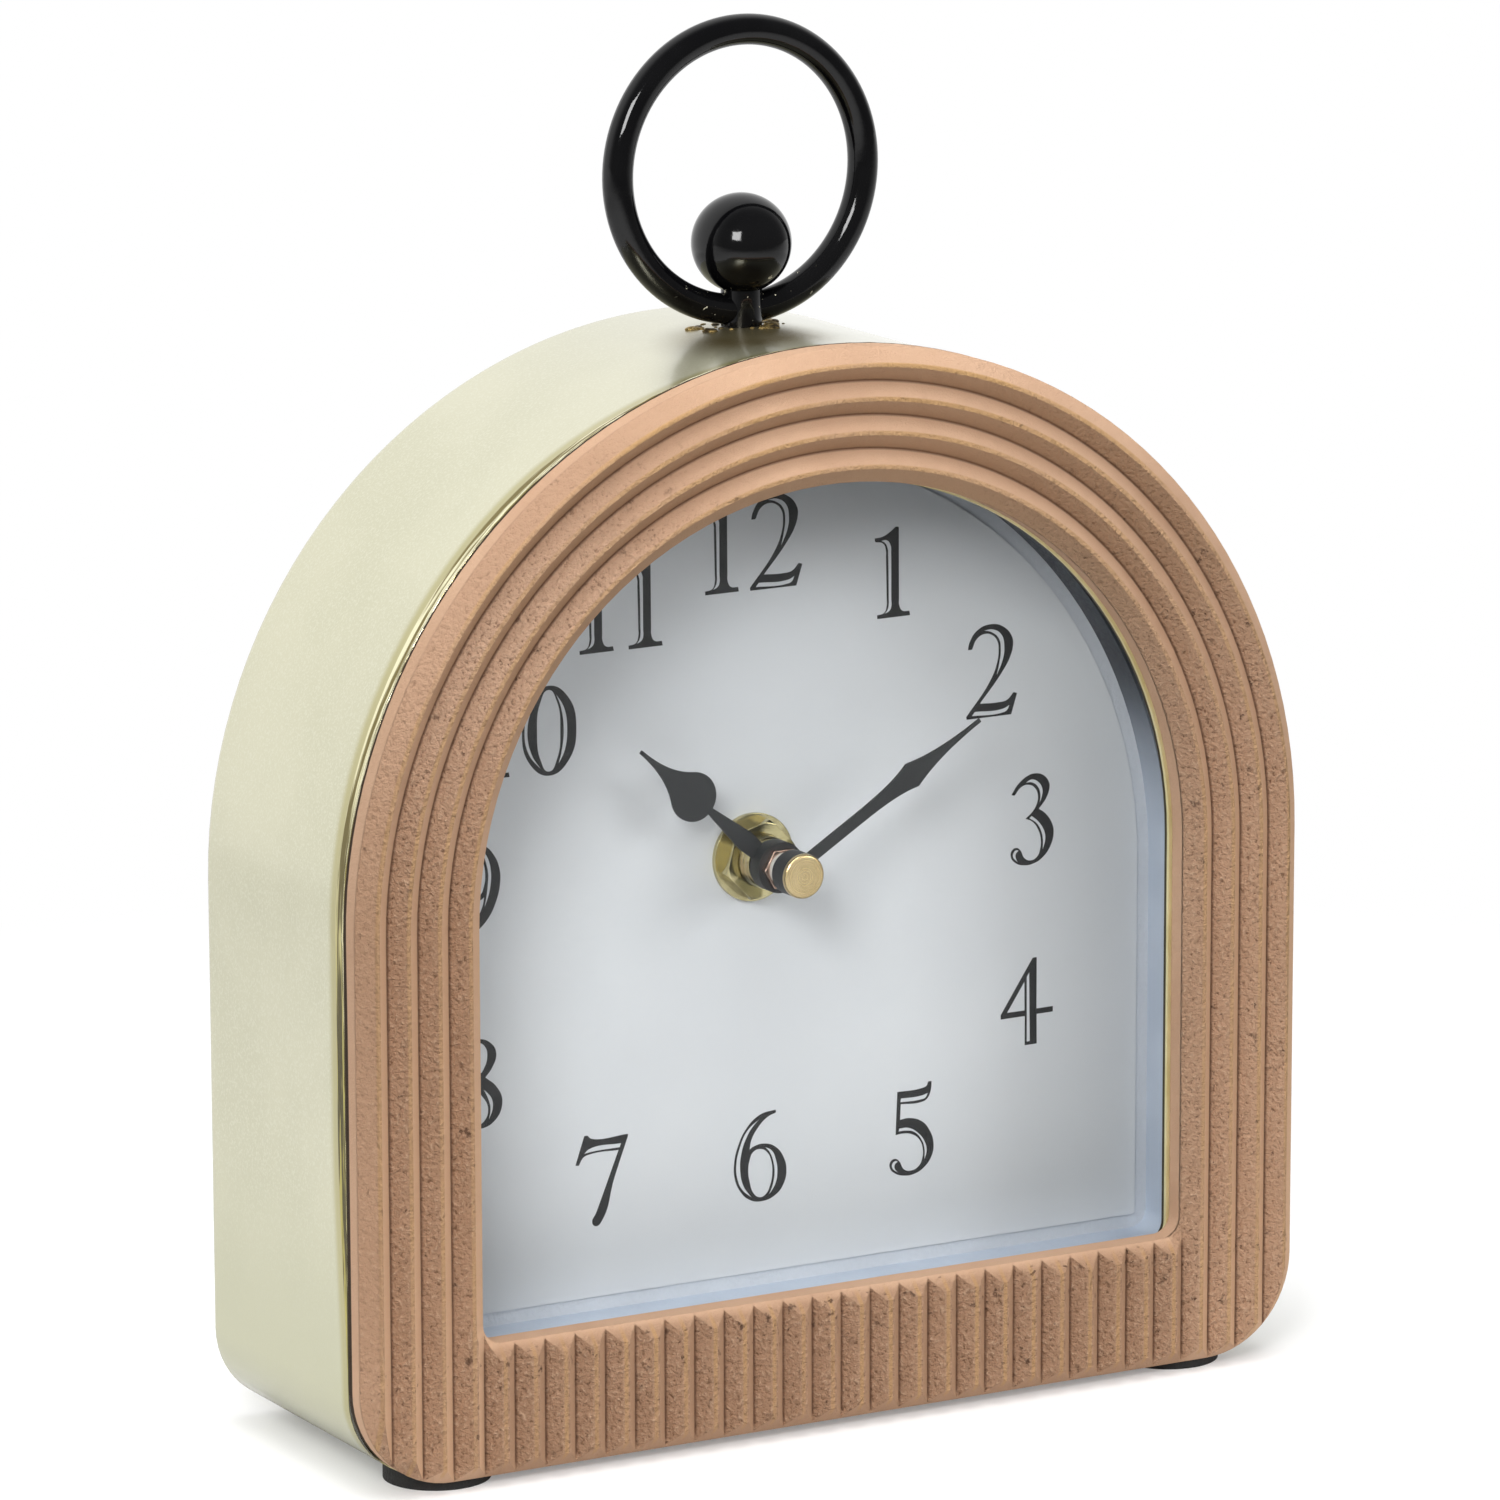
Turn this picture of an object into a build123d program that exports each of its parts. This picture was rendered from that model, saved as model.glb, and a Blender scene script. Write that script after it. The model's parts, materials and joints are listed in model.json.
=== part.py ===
from build123d import *
import math
import os

# Arch-top mantel clock: a fluted board frame on a sheet-metal case, a recessed dial behind glass,
# a ring-and-ball finial and a battery movement with its whole wheel train.
# Millimetres. +X is to the right, +Y to the back, +Z up, and Z = 0 is under the foot pads.

# Front frame, a board cut with vee flutes
FRAME_WIDTH = 160.0
FRAME_DROP = 82.0
FRAME_CORNER = 15.0
FRAME_THICK = 6.0
EDGE_BEVEL_MARGIN = 0.15
BAND_FLUTES = 4
FLUTE_PITCH = 5.0
FLUTE_ANGLE = 90.0
FLUTE_LAND = 0.6
RAIL_FLUTES = 24
RAIL_LAND = 1.2
RAIL_HEIGHT = 20.0
WINDOW_CORNER = 3.0
WINDOW_BACK_BREAK = 0.5
CUT_OVERSHOOT = 1.0

# Sheet-metal case: a deep can and the front plate that closes it
SHELL_INSET = 0.6
SHELL_SHEET = 0.8
SHELL_DEPTH = 46.0
SHELL_CORNER = 12.5
SHELL_BACK_ROUND = 2.0
PLATE_THICK = 1.2
PLATE_SILL_DROP = 1.5
PLATE_LEDGE = 0.3
COLLAR_DEPTH = 6.0
COLLAR_SHEET = 0.8
COLLAR_CLEAR = 0.1
ACCESS_MARGIN = 3.0
ACCESS_CORNER = 5.0

# Window glass and the clips that hold it
GLASS_THICK = 2.0
GLASS_LAP = 5.0
CLIP_SHEET = 0.6
CLIP_WIDTH = 8.0
CLIP_FOOT = 5.0
CLIP_GRIP = 3.0
CLIP_CLEAR = 0.2
CLIP_ARCH_ANGLES = (25.0, 90.0, 155.0)
CLIP_SIDE_DROP = 32.0
CLIP_SILL_OFFSET = 32.0

# Dial, the rim round it and the pillars that carry it
DIAL_MARGIN = 8.0
DIAL_SILL_MARGIN = 12.6
DIAL_SINK = 9.0
DIAL_CORNER = 2.8
DIAL_THICK = 2.5
PAPER_THICK = 0.25
PAPER_MARGIN = 2.2
RIM_SHEET = 1.0
RIM_HEIGHT = 5.4
AXIS_DROP = 1.0
PILLAR_DIAMETER = 8.0
PILLAR_INSET = 12.0
PILLAR_ANGLE = 30.0
SPIGOT_DIAMETER = 3.6
SPIGOT_LENGTH = 2.0
SCREW_DIAMETER = 2.5
SCREW_LENGTH = 7.0
SCREW_HEAD_DIAMETER = 5.6
SCREW_HEAD_THICK = 1.2
SCREW_SLOT_WIDTH = 0.7
SCREW_SLOT_DEPTH = 0.6
SCREW_CLEAR = 0.25
SEAT_CLEAR = 0.05

# Foot pads
FOOT_DIAMETER = 16.0
FOOT_THICK = 2.1
FOOT_FRONT_INSET = 3.9
FOOT_FRONT_SIDE_INSET = 16.2
FOOT_BACK_INSET = 10.0
FOOT_BACK_SIDE_INSET = 24.4

# Ring-and-ball finial
RING_DIAMETER = 46.2
RING_ROD = 4.6
RING_LIFT = 0.1
POST_CHEEK = 0.8
FINIAL_SET_BACK = 1.2
BALL_DIAMETER = 15.0
BALL_NECK = 0.05
BALL_SOCKET = 2.5

# Hands and the stack that stands on the dial, from the dial forwards
WASHER_DIAMETER = 13.5
WASHER_THICK = 0.8
NUT_FLATS = 10.8
NUT_THICK = 2.4
NUT_EDGE_BREAK = 0.5
BUSH_DIAMETER = 8.0
BUSH_PROUD = 2.4
HOUR_HUB_GAP = 0.8
HOUR_HUB_DIAMETER = 7.8
HOUR_HUB_THICK = 2.6
COLLET_FLATS = 5.7
COLLET_THICK = 1.0
PIPE_PROUD = 0.5
MINUTE_HUB_GAP = 1.7
MINUTE_HUB_DIAMETER = 6.8
MINUTE_HUB_THICK = 3.2
MINUTE_HUB_FLOOR = 0.8
CAP_DIAMETER = 6.8
CAP_HEAD_THICK = 0.8
CAP_EDGE_BREAK = 0.5
CAP_SKIRT_DIAMETER = 4.8
CAP_STUD_DIAMETER = 2.6
CAP_STUD_LENGTH = 2.2
GLASS_GAP = 3.75
HAND_SHEET = 0.4
HOUR_LENGTH = 29.8
HOUR_STEM_HALF = 1.1
HOUR_SWELL_HALF = 1.55
HOUR_SWELL_REACH = 6.3
HOUR_NECK_HALF = 0.55
SPADE_REACH = 18.0
SPADE_RADIUS = 3.75
SPADE_SHOULDER = 38.0
HAND_TIP_HALF = 0.28
MINUTE_LENGTH = 38.0
MINUTE_STEM_HALF = 0.92
MINUTE_STEM_REACH = 12.5
LOZENGE_REACH = 24.2
LOZENGE_HALF = 2.1
HOUR_ANGLE = -48.9
MINUTE_ANGLE = 58.7

# Movement case
MOVEMENT_WALL = 1.4
MOVEMENT_CORNER = 3.0
COVER_THICK = 1.2
COVER_CLEAR = 0.15
TRAIN_CLEAR = 0.5
TRAIN_HEADROOM = 2.6
RUBBER_DIAMETER = 18.0
RUBBER_THICK = 0.8
BUSH_FLANGE_DIAMETER = 12.0
BUSH_FLANGE_THICK = 1.0
POST_DIAMETER = 3.0
POST_CORNER_INSET = 2.2

# Shafts and their running fits
PIPE_DIAMETER = 5.0
ARBOR_DIAMETER = 3.5
REAR_PIVOT_DIAMETER = 2.0
WHEEL_ARBOR_DIAMETER = 1.2
SETTING_ARBOR_DIAMETER = 2.0
RUNNING_CLEAR = 0.05
PIVOT_DEPTH = 0.8
END_SHAKE = 0.15

# Wheel train: teeth, modules and the directions from one arbor to the next
TOOTH_ADDENDUM = 0.85
TOOTH_DEDENDUM = 1.3
TOOTH_WIDTH = 0.8
TOOTH_TIP = 0.5
FINE_TOOTH_LIMIT = 12
CANNON_TEETH = 12
SETTING_TEETH = 36
SETTING_PINION_TEETH = 10
HOUR_TEETH = 40
PINION_TEETH = 8
CENTRE_TEETH = 64
THIRD_TEETH = 60
SECONDS_TEETH = 40
STEP_TEETH = 48
MOTION_DISTANCE = 11.5
CENTRE_MODULE = 0.30
THIRD_MODULE = 0.28
SECONDS_MODULE = 0.30
STEP_MODULE = 0.25
SETTING_DIRECTION = 12.0
THIRD_DIRECTION = 118.0
SECONDS_DIRECTION = 35.0
STEP_DIRECTION = 20.0
ROTOR_DIRECTION = -35.0

# Wheel layers, from the inside of the movement's front wall backwards
LAYER_GAP = 0.3
HOUR_WHEEL_THICK = 1.2
SETTING_WHEEL_THICK = 1.0
TRAIN_WHEEL_THICK = 0.7
PINION_OVERLAP = 0.3
CLUTCH_SPRING_THICK = 0.5
CLUTCH_SPRING_DIAMETER = 7.0
CLUTCH_COLLAR_DIAMETER = 4.6
CLUTCH_COLLAR_THICK = 0.5
KNOB_DIAMETER = 11.0
KNOB_THICK = 2.4
KNOB_GAP = 0.3
KNOB_FLUTES = 16
KNOB_FLUTE_DIAMETER = 1.2

# Stepping motor
MAGNET_DIAMETER = 6.0
MAGNET_THICK = 2.4
STATOR_SHEET = 0.8
STATOR_HOLE_CLEAR = 0.5
STATOR_RIM = 3.4
STATOR_ARM = 3.5
CORE_WIDTH = 2.4
CORE_SHEET = 0.8
BOBBIN_DIAMETER = 3.4
BOBBIN_FLANGE = 6.0
BOBBIN_FLANGE_THICK = 0.8
WINDING_DIAMETER = 5.2
COIL_FOOT_DROP = 7.0

# Electronics and the cell
BOARD_WIDTH = 10.6
BOARD_HEIGHT = 20.0
BOARD_THICK = 1.0
BOARD_DEPTH = 8.4
BOARD_CLEAR = 0.4
CRYSTAL_DIAMETER = 2.0
CRYSTAL_LENGTH = 6.0
CHIP_DIAMETER = 5.0
CHIP_HEIGHT = 1.0
BATTERY_DIAMETER = 14.5
BATTERY_LENGTH = 49.5
BATTERY_EDGE = 0.6
NUB_DIAMETER = 5.5
NUB_LENGTH = 1.0
BAY_CLEAR = 0.3
BAY_WALL = 1.2
CONTACT_SHEET = 0.4
CONTACT_WIDTH = 9.0
CONTACT_DIMPLE = 3.6
CONTACT_SPACE = 1.35
CONTACT_TAIL = 3.0
CONTACT_CLEAR = 0.15

# Outline sizes that follow from the driving ones
frame_half = FRAME_WIDTH / 2
window_half = frame_half - BAND_FLUTES * FLUTE_PITCH
window_drop = FRAME_DROP - RAIL_HEIGHT
flute_slope = math.tan(math.radians(FLUTE_ANGLE / 2))
flute_depth = (FLUTE_PITCH - FLUTE_LAND) / 2 / flute_slope
rail_pitch = 2 * window_half / RAIL_FLUTES
rail_depth = (rail_pitch - RAIL_LAND) / 2 / flute_slope
shell_half = frame_half - SHELL_INSET
shell_drop = FRAME_DROP - SHELL_INSET
dial_half = shell_half - SHELL_SHEET - DIAL_MARGIN
dial_drop = shell_drop - SHELL_SHEET - DIAL_SILL_MARGIN - DIAL_SINK
arch_z = FOOT_THICK + shell_drop
dial_z = arch_z - DIAL_SINK
axis_z = arch_z - AXIS_DROP

# Hand stack, as heights above the dial
nut_top = WASHER_THICK + NUT_THICK
bush_top = nut_top + BUSH_PROUD
hour_low = bush_top + HOUR_HUB_GAP
hour_top = hour_low + HOUR_HUB_THICK
collet_top = hour_top + COLLET_THICK
pipe_top = collet_top + PIPE_PROUD
minute_low = pipe_top + MINUTE_HUB_GAP
minute_seat = minute_low + MINUTE_HUB_FLOOR
minute_top = minute_low + MINUTE_HUB_THICK
cap_top = minute_top + CAP_HEAD_THICK

# Depths along Y, with the box centred on Y = 0
total_depth = FRAME_THICK + PLATE_THICK + SHELL_DEPTH + SCREW_HEAD_THICK
y_front = -total_depth / 2
y_frame_back = y_front + FRAME_THICK
y_plate_back = y_frame_back + PLATE_THICK
y_glass_back = y_plate_back + GLASS_THICK
y_shell_back = y_plate_back + SHELL_DEPTH
y_wall_inside = y_shell_back - SHELL_SHEET
y_dial = y_glass_back + GLASS_GAP + cap_top
y_paper_back = y_dial + PAPER_THICK
y_board_back = y_paper_back + DIAL_THICK
y_movement = y_board_back + RUBBER_THICK
y_train = y_movement + MOVEMENT_WALL
finial_y = (y_plate_back + y_shell_back) / 2 + FINIAL_SET_BACK

# Wheel layers as pairs of front and back depths behind the movement's front wall
hour_layer_front = BUSH_FLANGE_THICK + LAYER_GAP
hour_layer = (hour_layer_front, hour_layer_front + HOUR_WHEEL_THICK)
cannon_front = hour_layer[1] + LAYER_GAP + PINION_OVERLAP
setting_layer = (cannon_front + PINION_OVERLAP, cannon_front + PINION_OVERLAP + SETTING_WHEEL_THICK)
cannon_layer = (cannon_front, setting_layer[1] + PINION_OVERLAP)
spring_layer = (cannon_layer[1], cannon_layer[1] + CLUTCH_SPRING_THICK)
centre_front = spring_layer[1] + LAYER_GAP
centre_layer = (centre_front, centre_front + TRAIN_WHEEL_THICK)
collar_front = centre_layer[1] + LAYER_GAP / 2
collar_layer = (collar_front, collar_front + CLUTCH_COLLAR_THICK)
layer_step = TRAIN_WHEEL_THICK + 2 * PINION_OVERLAP + LAYER_GAP
third_layer = (centre_layer[0] + layer_step, centre_layer[1] + layer_step)
seconds_layer = (third_layer[0] + layer_step, third_layer[1] + layer_step)
step_layer = (seconds_layer[0] + layer_step, seconds_layer[1] + layer_step)
train_depth = step_layer[1] + PINION_OVERLAP + LAYER_GAP + TRAIN_CLEAR
cell_depth = BATTERY_DIAMETER + 2 * BAY_CLEAR
cover_depth = max(train_depth, cell_depth - COVER_THICK)
y_cover = y_train + cover_depth
y_movement_back = y_cover + COVER_THICK
stator_layer = (third_layer[1] - STATOR_SHEET, third_layer[1])
core_layer = (stator_layer[1], stator_layer[1] + CORE_SHEET)
magnet_front = (stator_layer[0] + stator_layer[1] - MAGNET_THICK) / 2
magnet_layer = (magnet_front, magnet_front + MAGNET_THICK)


def widen(layer, margin):
    """The layer, a little thicker on both sides."""
    return layer[0] - margin, layer[1] + margin


def polar(start, distance, direction):
    """Point at a distance and direction, in degrees, from a start point of the X-Z plane."""
    angle = math.radians(direction)
    return start[0] + distance * math.cos(angle), start[1] + distance * math.sin(angle)


def mesh_distance(module, teeth, other_teeth):
    """Distance between the arbors of two meshing wheels."""
    return module * (teeth + other_teeth) / 2


# Arbor places in the X-Z plane, from the hand axis
motion_module = 2 * MOTION_DISTANCE / (CANNON_TEETH + SETTING_TEETH)
hour_module = 2 * MOTION_DISTANCE / (SETTING_PINION_TEETH + HOUR_TEETH)
centre_at = (0.0, 0.0)
setting_at = polar(centre_at, MOTION_DISTANCE, SETTING_DIRECTION)
third_at = polar(centre_at, mesh_distance(CENTRE_MODULE, CENTRE_TEETH, PINION_TEETH), THIRD_DIRECTION)
seconds_at = polar(third_at, mesh_distance(THIRD_MODULE, THIRD_TEETH, PINION_TEETH), SECONDS_DIRECTION)
step_at = polar(seconds_at, mesh_distance(SECONDS_MODULE, SECONDS_TEETH, PINION_TEETH), STEP_DIRECTION)
rotor_at = polar(step_at, mesh_distance(STEP_MODULE, STEP_TEETH, PINION_TEETH), ROTOR_DIRECTION)


def tip_radius(module, teeth):
    """Outer radius of a toothed wheel."""
    return module * (teeth / 2 + TOOTH_ADDENDUM)


# Movement outline, wide enough for the cell and high enough for the train
widest_wheel = max(tip_radius(CENTRE_MODULE, CENTRE_TEETH), tip_radius(hour_module, HOUR_TEETH))
movement_half = (BATTERY_LENGTH + NUB_LENGTH) / 2 + CONTACT_SPACE + MOVEMENT_WALL
inside_half = movement_half - MOVEMENT_WALL
floor_z = -widest_wheel - TRAIN_CLEAR
bay_top = floor_z - BAY_WALL
bay_bottom = bay_top - BATTERY_DIAMETER - 2 * BAY_CLEAR
movement_bottom = bay_bottom - MOVEMENT_WALL
ceiling_z = step_at[1] + tip_radius(STEP_MODULE, STEP_TEETH) + TRAIN_HEADROOM
movement_top = ceiling_z + MOVEMENT_WALL
movement_mid = (movement_top + movement_bottom) / 2
battery_at = (bay_top + bay_bottom) / 2
battery_y = y_train + BAY_CLEAR + BATTERY_DIAMETER / 2
coil_x = inside_half - BOBBIN_FLANGE / 2 - TRAIN_CLEAR
coil_low = -COIL_FOOT_DROP + STATOR_ARM / 2 + SEAT_CLEAR
coil_high = rotor_at[1] - STATOR_RIM - SEAT_CLEAR


def arch(half, drop, corner):
    """Round-topped outline about the arch centre, with rounded lower corners."""
    left = Line((-half, 0), (-half, -drop))
    sill = Line((-half, -drop), (half, -drop))
    right = Line((half, -drop), (half, 0))
    crown = CenterArc((0, 0), half, 0, 180)
    outline = make_face([left, sill, right, crown])
    return fillet(outline.vertices().group_by(Axis.Y)[0], corner)


def slab(profile, front, back, height, across=0.0):
    """A flat profile drawn in X and Z, made solid from its front depth to its back depth."""
    plane = Plane(origin=(across, back, height), x_dir=(1, 0, 0), z_dir=(0, -1, 0))
    return extrude(plane * profile, amount=back - front)


def case_slab(profile, front, back):
    """A slab drawn about the arch centre."""
    return slab(profile, front, back, arch_z)


def dial_slab(profile, front, back):
    """A slab drawn about the centre of the dial's own arch, which is lower than the case's."""
    return slab(profile, front, back, dial_z)


def axis_slab(profile, low, high):
    """A slab drawn about the hand axis, between two heights above the dial."""
    return slab(profile, y_dial - high, y_dial - low, axis_z)


def train_slab(profile, layer, at=centre_at):
    """A slab inside the movement, in a layer behind its front wall."""
    return slab(profile, y_train + layer[0], y_train + layer[1], axis_z + at[1], at[0])


def box_profile(left, right, low, high):
    """Rectangle from its four sides."""
    return Pos((left + right) / 2, (low + high) / 2) * Rectangle(right - left, high - low)


def disc(diameter):
    """Round profile of a diameter."""
    return Circle(diameter / 2)


def upright(diameter, bottom, top, x, y):
    """Cylinder that stands along Z."""
    return Pos(x, y, (bottom + top) / 2) * Cylinder(diameter / 2, top - bottom)


def shell_outline(inset=0.0):
    """The case outline, or one drawn in from it."""
    return arch(shell_half - inset, shell_drop - inset, SHELL_CORNER - inset)


def frame_outline():
    """The outline of the front frame."""
    return arch(frame_half, FRAME_DROP, FRAME_CORNER)


def window_outline(lap=0.0):
    """The window outline, or one drawn out from it."""
    return arch(window_half + lap, window_drop + lap, WINDOW_CORNER + lap)


def dial_outline(lap=0.0):
    """The outline of the dial board, or one drawn out from it."""
    return arch(dial_half + lap, dial_drop + lap, DIAL_CORNER + lap)


def vee_profile(depth):
    """Cross-section of a vee cutter at X = 0, reaching past the front of the board."""
    reach = (depth + CUT_OVERSHOOT) * flute_slope
    points = [(0, y_front + depth), (reach, y_front - CUT_OVERSHOOT), (-reach, y_front - CUT_OVERSHOOT)]
    return make_face(Polyline(points, close=True))


def arch_flute(radius):
    """Cutter of one flute that follows the arch and runs down both sides."""
    profile = Pos(radius, 0, arch_z) * vee_profile(flute_depth)
    leg = extrude(profile, amount=FRAME_DROP + CUT_OVERSHOOT, dir=(0, 0, -1))
    crown = revolve(profile, Axis((0, 0, arch_z), (0, -1, 0)), 180)
    return leg + crown + mirror(leg, Plane.YZ)


def rail_flute(x):
    """Cutter of one upright flute of the lower rail."""
    low = arch_z - FRAME_DROP - CUT_OVERSHOOT
    high = arch_z - window_drop + WINDOW_CORNER
    return extrude(Pos(x, 0, low) * vee_profile(rail_depth), amount=high - low, dir=(0, 0, 1))


def front_frame():
    """Board with a window, arch flutes, rail flutes and a bevel round the window and the outer edge."""
    board = case_slab(frame_outline() - window_outline(), y_front, y_frame_back)
    front = board.faces().sort_by(Axis.Y)[0]
    board = chamfer(front.inner_wires()[0].edges(), flute_depth)
    front = board.faces().sort_by(Axis.Y)[0]
    board = chamfer(front.outer_wire().edges(), flute_depth + EDGE_BEVEL_MARGIN)
    back = board.faces().sort_by(Axis.Y)[-1]
    board = chamfer(back.inner_wires()[0].edges(), WINDOW_BACK_BREAK)
    for count in range(1, BAND_FLUTES):
        board = board - arch_flute(window_half + count * FLUTE_PITCH)
    for count in range(RAIL_FLUTES + 1):
        board = board - rail_flute(count * rail_pitch - window_half)
    return board


def front_plate():
    """Plate behind the frame, with a collar that plugs into the case and a ledge round the window."""
    opening = arch(window_half - PLATE_LEDGE, window_drop + PLATE_SILL_DROP, WINDOW_CORNER)
    plate = case_slab(shell_outline() - opening, y_frame_back, y_plate_back)
    collar_inset = SHELL_SHEET + COLLAR_CLEAR
    ring = shell_outline(collar_inset) - shell_outline(collar_inset + COLLAR_SHEET)
    return plate + case_slab(ring, y_plate_back, y_plate_back + COLLAR_DEPTH)


def pillar_places():
    """The four pillar centres, as X and Z from the arch centre."""
    reach = dial_half - PILLAR_INSET
    high = polar((0, -DIAL_SINK), reach, PILLAR_ANGLE)
    low = (reach, PILLAR_INSET - dial_drop - DIAL_SINK)
    return [high, (-high[0], high[1]), low, (-low[0], low[1])]


def case_blank():
    """The case as a full block, with its rounded back edge."""
    block = case_slab(shell_outline(), y_plate_back, y_shell_back)
    return fillet(block.faces().sort_by(Axis.Y)[-1].edges(), SHELL_BACK_ROUND)


def case_shell():
    """Deep can with a rounded back edge, an access opening and screw holes in its back."""
    inside = case_slab(shell_outline(SHELL_SHEET), y_plate_back, y_wall_inside)
    inside = fillet(inside.faces().sort_by(Axis.Y)[-1].edges(), SHELL_BACK_ROUND - SHELL_SHEET)
    can = case_blank() - inside
    width = 2 * (movement_half + ACCESS_MARGIN)
    height = movement_top - movement_bottom + 2 * ACCESS_MARGIN
    opening = RectangleRounded(width, height, ACCESS_CORNER)
    can = can - slab(opening, y_wall_inside - CUT_OVERSHOOT, y_shell_back, axis_z + movement_mid)
    hole = disc(SCREW_DIAMETER + 2 * SCREW_CLEAR)
    for x, z in pillar_places():
        can = can - slab(hole, y_wall_inside, y_shell_back, arch_z + z, x)
    return can


def window_glass():
    """Arch-shaped pane that lies against the back of the front plate."""
    return case_slab(window_outline(GLASS_LAP), y_plate_back, y_glass_back)


def glass_clip():
    """One clip at the top of the pane, drawn about the arch centre and pointing along +Z."""
    edge = window_half + GLASS_LAP
    riser = edge + CLIP_CLEAR
    foot_y = y_plate_back + CLIP_SHEET
    grip_y = y_glass_back + CLIP_SHEET
    points = [
        (y_plate_back, riser),
        (y_plate_back, riser + CLIP_FOOT),
        (foot_y, riser + CLIP_FOOT),
        (foot_y, riser + CLIP_SHEET),
        (grip_y, riser + CLIP_SHEET),
        (grip_y, edge - CLIP_GRIP),
        (y_glass_back, edge - CLIP_GRIP),
        (y_glass_back, riser),
    ]
    side = make_face(Polyline(points, close=True))
    return extrude(Plane.YZ * side, amount=CLIP_WIDTH / 2, both=True)


def glass_clips():
    """Clips round the arch, at both sides and along the sill."""
    clip = glass_clip()
    clips = []
    for angle in CLIP_ARCH_ANGLES:
        clips.append(Pos(0, 0, arch_z) * Rot(0, 90 - angle, 0) * clip)
    for turn in (90, -90):
        clips.append(Pos(0, 0, arch_z - CLIP_SIDE_DROP) * Rot(0, turn, 0) * clip)
    sill_shift = window_drop - window_half
    for x in (CLIP_SILL_OFFSET, -CLIP_SILL_OFFSET):
        clips.append(Pos(x, 0, arch_z - sill_shift) * Rot(0, 180, 0) * clip)
    return Compound(clips)


def dial_board():
    """Board behind the dial paper, with holes for the bush and the pillar spigots."""
    board = dial_slab(dial_outline(), y_paper_back, y_board_back)
    board = board - slab(disc(BUSH_DIAMETER + 2 * SCREW_CLEAR), y_paper_back, y_board_back, axis_z)
    hole = disc(SPIGOT_DIAMETER + 2 * SEAT_CLEAR)
    for x, z in pillar_places():
        board = board - slab(hole, y_paper_back, y_board_back, arch_z + z, x)
    return board


def dial_face():
    """Dial paper on the front of the board."""
    paper = dial_slab(dial_outline(-PAPER_MARGIN), y_dial, y_paper_back)
    return paper - slab(disc(BUSH_DIAMETER + 2 * SCREW_CLEAR), y_dial, y_paper_back, axis_z)


def dial_rim():
    """Strip bent round the edge of the dial board, standing up in front of the paper."""
    return dial_slab(dial_outline(RIM_SHEET) - dial_outline(), y_dial - RIM_HEIGHT, y_board_back)


def dial_pillars():
    """Turned pillars between the dial board and the back of the case, bored for screws."""
    pillars = []
    for x, z in pillar_places():
        height = arch_z + z
        pillar = slab(disc(PILLAR_DIAMETER), y_board_back, y_wall_inside, height, x)
        pillar = pillar + slab(disc(SPIGOT_DIAMETER), y_board_back - SPIGOT_LENGTH, y_board_back, height, x)
        bore = disc(SCREW_DIAMETER + 2 * SEAT_CLEAR)
        pillar = pillar - slab(bore, y_shell_back - SCREW_LENGTH, y_wall_inside, height, x)
        pillars.append(pillar)
    return Compound(pillars)


def pillar_screws():
    """Slotted screws through the back of the case into the pillars."""
    screws = []
    head_back = y_shell_back + SCREW_HEAD_THICK
    for x, z in pillar_places():
        height = arch_z + z
        shank_tip = y_shell_back - SCREW_LENGTH + SEAT_CLEAR
        screw = slab(disc(SCREW_DIAMETER), shank_tip, y_shell_back, height, x)
        screw = screw + slab(disc(SCREW_HEAD_DIAMETER), y_shell_back, head_back, height, x)
        slot = Rectangle(SCREW_HEAD_DIAMETER, SCREW_SLOT_WIDTH)
        screws.append(screw - slab(slot, head_back - SCREW_SLOT_DEPTH, head_back, height, x))
    return Compound(screws)


def foot_pads():
    """Round pads under the case and its frame, shaped to them. The back ones stand further in."""
    pads = []
    block = case_slab(shell_outline(), y_frame_back, y_shell_back)
    block = block + case_slab(frame_outline(), y_front, y_frame_back)
    pad_top = FOOT_THICK + FOOT_DIAMETER / 4
    front = (shell_half - FOOT_FRONT_SIDE_INSET, y_plate_back + FOOT_FRONT_INSET)
    back = (shell_half - FOOT_BACK_SIDE_INSET, y_shell_back - FOOT_BACK_INSET)
    for side in (1, -1):
        for x, y in (front, back):
            pad = upright(FOOT_DIAMETER, 0, pad_top, side * x, y)
            pads.append((pad - block).solids().sort_by(Axis.Z)[0])
    return Compound(pads)


# Finial heights above the case
case_top = arch_z + shell_half
ring_z = case_top + RING_LIFT + RING_DIAMETER / 2
rod_top = case_top + RING_LIFT + RING_ROD
ball_z = rod_top + BALL_NECK + BALL_DIAMETER / 2
post_top = ball_z - BALL_DIAMETER / 2 + BALL_SOCKET
post_diameter = RING_ROD + 2 * POST_CHEEK


def ring_torus(rod):
    """Round ring in the plane of the front, of a rod diameter."""
    ring = Torus((RING_DIAMETER - RING_ROD) / 2, rod / 2)
    return Pos(0, finial_y, ring_z) * Rot(90, 0, 0) * ring


def finial_ring():
    """Ring that stands on the case top."""
    return ring_torus(RING_ROD)


def finial_post():
    """Forked post that straddles the ring, with its foot shaped to the arch of the case."""
    post = upright(post_diameter, case_top - RING_ROD, post_top, 0, finial_y)
    post = post - case_blank()
    return post - ring_torus(RING_ROD + 2 * SEAT_CLEAR)


def finial_ball():
    """Ball with a socket for the post."""
    ball = Pos(0, finial_y, ball_z) * Sphere(BALL_DIAMETER / 2)
    socket = upright(post_diameter + 2 * SEAT_CLEAR, rod_top, post_top + SEAT_CLEAR, 0, finial_y)
    return ball - socket


def hand_hub(diameter, low, high):
    """Round hub of a hand, between two heights."""
    return axis_slab(disc(diameter), low, high)


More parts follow.
